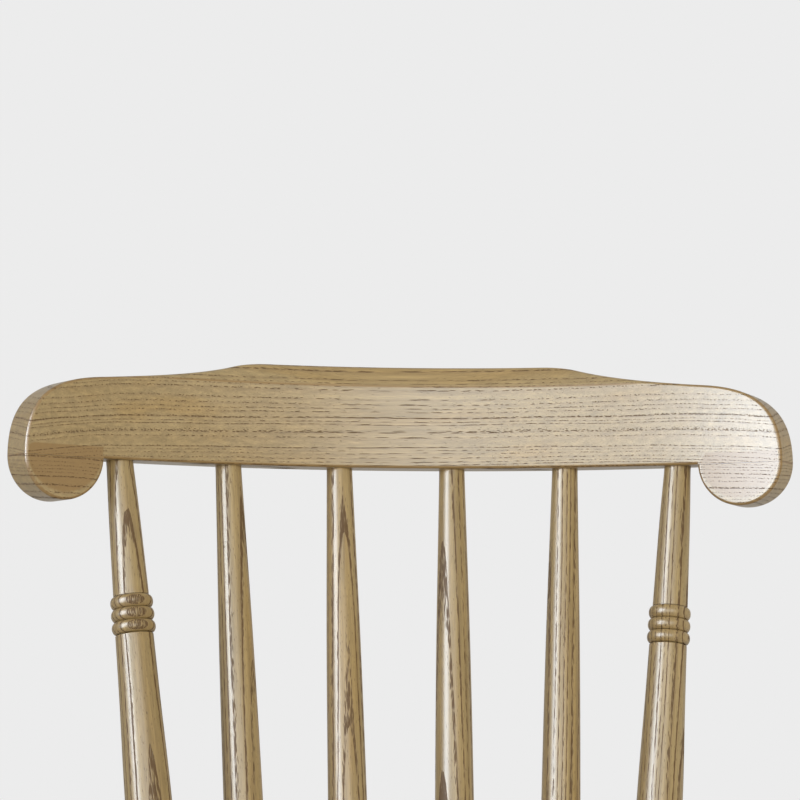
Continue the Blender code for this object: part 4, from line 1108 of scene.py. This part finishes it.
def make_back():
    turned_set([f"back_spindle_{n}" for n in range(1, 5)], SEAT_TENON, RAIL_TENON, back_spindle_profile, 1)
    for number, (name, side) in enumerate(SIDES, 5):
        foot, head = axis_between(f"back_post_{name}", SEAT_TENON, RAIL_TENON)
        profile = back_post_profile((head - foot).length, POST_BEADS_BELOW_RAIL + side * POST_BEADS_OFF)
        turning_in_ash(turned(f"back_post_{name}", profile, foot, head), foot, head, number)
    in_ash(crest_rail(), RAIL_GRAIN, RAIL_FOOT + RAIL_PITH, RAIL_RINGS)
    for name, side in SIDES:
        ear = ear_block(f"ear_block_{name}", side)
        in_ash(ear, EAR_GRAIN, RAIL_FOOT + EAR_PITH, EAR_RINGS, tone=EAR_TONE)

def make_seat_and_arms():
    in_ash(seat(), SEAT_GRAIN, SEAT_MIDDLE + SEAT_PITH, SEAT_RINGS, boards=SEAT_BOARD)
    for name, side in SIDES:
        pith = middle_of(f"arm_{name}") + on_side(side, ARM_PITH)
        in_ash(arm(name, side), on_side(side, ARM_GRAIN), pith, ARM_RINGS)
    pairs = [name for name, _ in SIDES]
    turned_set([f"arm_post_{name}" for name in pairs], SEAT_TENON, ARM_TENON, arm_post_profile, 7)
    for kind in ("arm_spindle_front", "arm_spindle_rear"):
        turned_set([f"{kind}_{name}" for name in pairs], SEAT_TENON, ARM_TENON, arm_spindle_profile, 9)

def make_undercarriage():
    pairs = [name for name, _ in SIDES]
    legs = [(f"{kind}_leg_{name}", f"rocker_{name}") for kind in ("front", "rear") for name in pairs]
    for number, (node, rocker_node) in enumerate(legs, 12):
        foot, head = leg_axis(node, rocker_node)
        turning_in_ash(leg(node, foot, head), foot, head, number)
    side_rungs = [f"side_stretcher_{height}_{name}" for height in ("lower", "upper") for name in pairs]
    turned_set([*side_rungs, "rear_stretcher"], 0.0, 0.0, plain_stretcher_profile, 16)
    turned_set(["front_stretcher_lower", "front_stretcher_upper"], 0.0, 0.0, beaded_stretcher_profile, 21)
    for name, side in SIDES:
        pith = middle_of(f"rocker_{name}") + on_side(side, ROCKER_PITH)
        in_ash(rocker(f"rocker_{name}"), ROCKER_GRAIN, pith, ROCKER_RINGS)

def make_fixings():
    """Finishes the CAD's own screws, bolts and nuts in zinc, and its plugs and pins in ash."""
    zinc = zinc_finish()
    for node, cad in frame["nodes"].items():
        material = None
        if node.startswith(("arm_screw", "rocker_bolt", "barrel_nut")):
            material = zinc
        if node.startswith(("arm_plug", "crest_pin")):
            low, high = end_rings(node)
            material = ash_finish(node + "_ash", high - low, low + PLUG_PITH, PLUG_RINGS, PLUG_TONE)
        for holder in cad.material_slots:
            holder.material = material or holder.material

# ---- Room, lights and camera ----

BACKGROUND = (0.839, 0.839, 0.839, 1.0)
GLOW_BELOW = (0.52, 0.51, 0.49, 1.0)
GLOW_ABOVE = (0.47, 0.48, 0.49, 1.0)
GLOW_LOW, GLOW_HIGH = -0.5, 0.9
WINDOW_TINT = (0.88, 1.0, 1.14)

FLOOR_RADIUS = 2.6
FLOOR_FADES = (0.9, 0.97 * FLOOR_RADIUS)
FLOOR_DROP = 0.0006
FLOOR_DARK = (0.66, 0.66, 0.66, 1.0)
FLOOR_LIGHT = (0.70, 0.70, 0.695, 1.0)
FLOOR_ROUGHNESS = 0.7
CLOUD_PACE = 3.0

LIGHTS_AIM = Vector((0.0, 0.20, 0.85))

def pale_floor():
    """A pale disc that fades out at its rim, and that isn't there when it is looked at from below."""
    bm = bmesh.new()
    bmesh.ops.create_circle(bm, cap_ends=True, segments=96, radius=FLOOR_RADIUS)
    mesh = bpy.data.meshes.new("floor")
    bm.to_mesh(mesh)
    bm.free()
    floor = bpy.data.objects.new("floor", mesh)
    bpy.context.scene.collection.objects.link(floor)
    floor.location.z = -FLOOR_DROP
    material, wire, shader, where = new_finish("pale_floor")
    cloud = wire.noise(where, CLOUD_PACE, 3.0)
    wire.put(wire.mix(cloud, FLOOR_DARK, FLOOR_LIGHT), shader.inputs["Base Color"])
    shader.inputs["Roughness"].default_value = FLOOR_ROUGHNESS
    solid = wire.ramp(wire.length(where), FLOOR_FADES[1], FLOOR_FADES[0])
    from_above = wire.math("SUBTRACT", 1.0, wire.node("NewGeometry").outputs["Backfacing"])
    wire.put(wire.math("MULTIPLY", solid, from_above), shader.inputs["Alpha"])
    mesh.materials.append(material)

def soft_room():
    """Even grey behind the chair, and a soft glow from all around that lights it."""
    world = bpy.data.worlds.new("soft_room")
    bpy.context.scene.world = world
    world.use_nodes = True
    wire = Wiring(world.node_tree)
    seen = wire.nodes["Background"]
    wire.put(BACKGROUND, seen.inputs["Color"])
    glow = wire.node("Background")
    apart = wire.node("SeparateXYZ")
    wire.put(wire.node("TexCoord").outputs["Generated"], apart.inputs[0])
    height = wire.ramp(apart.outputs["Z"], GLOW_LOW, GLOW_HIGH)
    wire.put(wire.mix(height, GLOW_BELOW, GLOW_ABOVE), glow.inputs["Color"])
    both = wire.node("MixShader")
    wire.put(wire.node("LightPath").outputs["Is Camera Ray"], both.inputs[0])
    wire.put(glow.outputs[0], both.inputs[1])
    wire.put(seen.outputs[0], both.inputs[2])
    wire.put(both.outputs[0], wire.nodes["World Output"].inputs["Surface"])

def softbox(name, azimuth, elevation, distance, size, power, body=True, sheen=True, tint=(1.0, 1.0, 1.0)):
    """A soft light on the chair's back, azimuth degrees from the front towards the sitter's right."""
    a, e = math.radians(azimuth), math.radians(elevation)
    out = Vector((-math.sin(a) * math.cos(e), -math.cos(a) * math.cos(e), math.sin(e)))
    lamp = bpy.data.lights.new(name, "AREA")
    lamp.shape = "RECTANGLE"
    lamp.size, lamp.size_y = size
    lamp.energy = power
    lamp.color = tint
    light = bpy.data.objects.new(name, lamp)
    light.location = LIGHTS_AIM + out * distance
    light.rotation_euler = (-out).to_track_quat("-Z", "Y").to_euler()
    light.visible_camera = False
    light.visible_diffuse = body
    light.visible_glossy = sheen
    bpy.context.scene.collection.objects.link(light)
    return light

def make_lights():
    """Lights the chair. The windows' strong sheen stays on its back, so that the seat doesn't glare."""
    softbox("front", azimuth=-14, elevation=25, distance=3.0, size=(1.8, 1.6), power=43.5, sheen=False)
    softbox("side", azimuth=70, elevation=25, distance=2.8, size=(1.5, 1.7), power=14)
    window = {"elevation": 20, "body": False, "tint": WINDOW_TINT}
    near = softbox("window_near", azimuth=11, distance=3.2, size=(2.6, 1.8), power=74, **window)
    far = softbox("window_far", azimuth=60, distance=2.8, size=(1.5, 2.2), power=205, **window)
    back = bpy.data.collections.new("chair_back")
    for piece in bpy.context.scene.objects:
        if piece.type == "MESH" and piece.name.startswith(("crest_rail", "ear_block", "back_")):
            back.objects.link(piece)
    near.light_linking.receiver_collection = back
    far.light_linking.receiver_collection = back

CAMERA_PLACE = Vector((-0.2005, -1.6067, 1.1758))
CAMERA_AIM = Vector((0.10424, 0.99208, -0.07013))
CAMERA_LENS = 112.98
SENSOR_WIDTH = 36.0
CAMERA_REACH = (0.05, 50.0)

def camera():
    """Looks at the upper part of the back from just right of the middle, upright to the leant back."""
    upright = Vector((0.0, math.sin(RAIL_RECLINE), math.cos(RAIL_RECLINE)))
    right = CAMERA_AIM.cross(upright).normalized()
    up = right.cross(CAMERA_AIM).normalized()
    axes = Matrix((right, up, -CAMERA_AIM.normalized())).transposed().to_4x4()
    lens = bpy.data.cameras.new("camera")
    lens.lens = CAMERA_LENS
    lens.sensor_width = SENSOR_WIDTH
    lens.clip_start, lens.clip_end = CAMERA_REACH
    view = bpy.data.objects.new("camera", lens)
    view.matrix_world = Matrix.Translation(CAMERA_PLACE) @ axes
    bpy.context.scene.collection.objects.link(view)
    bpy.context.scene.camera = view

make_back()
make_seat_and_arms()
make_undercarriage()
make_fixings()
pale_floor()
soft_room()
make_lights()
camera()
bpy.context.scene.view_settings.view_transform = "Standard"
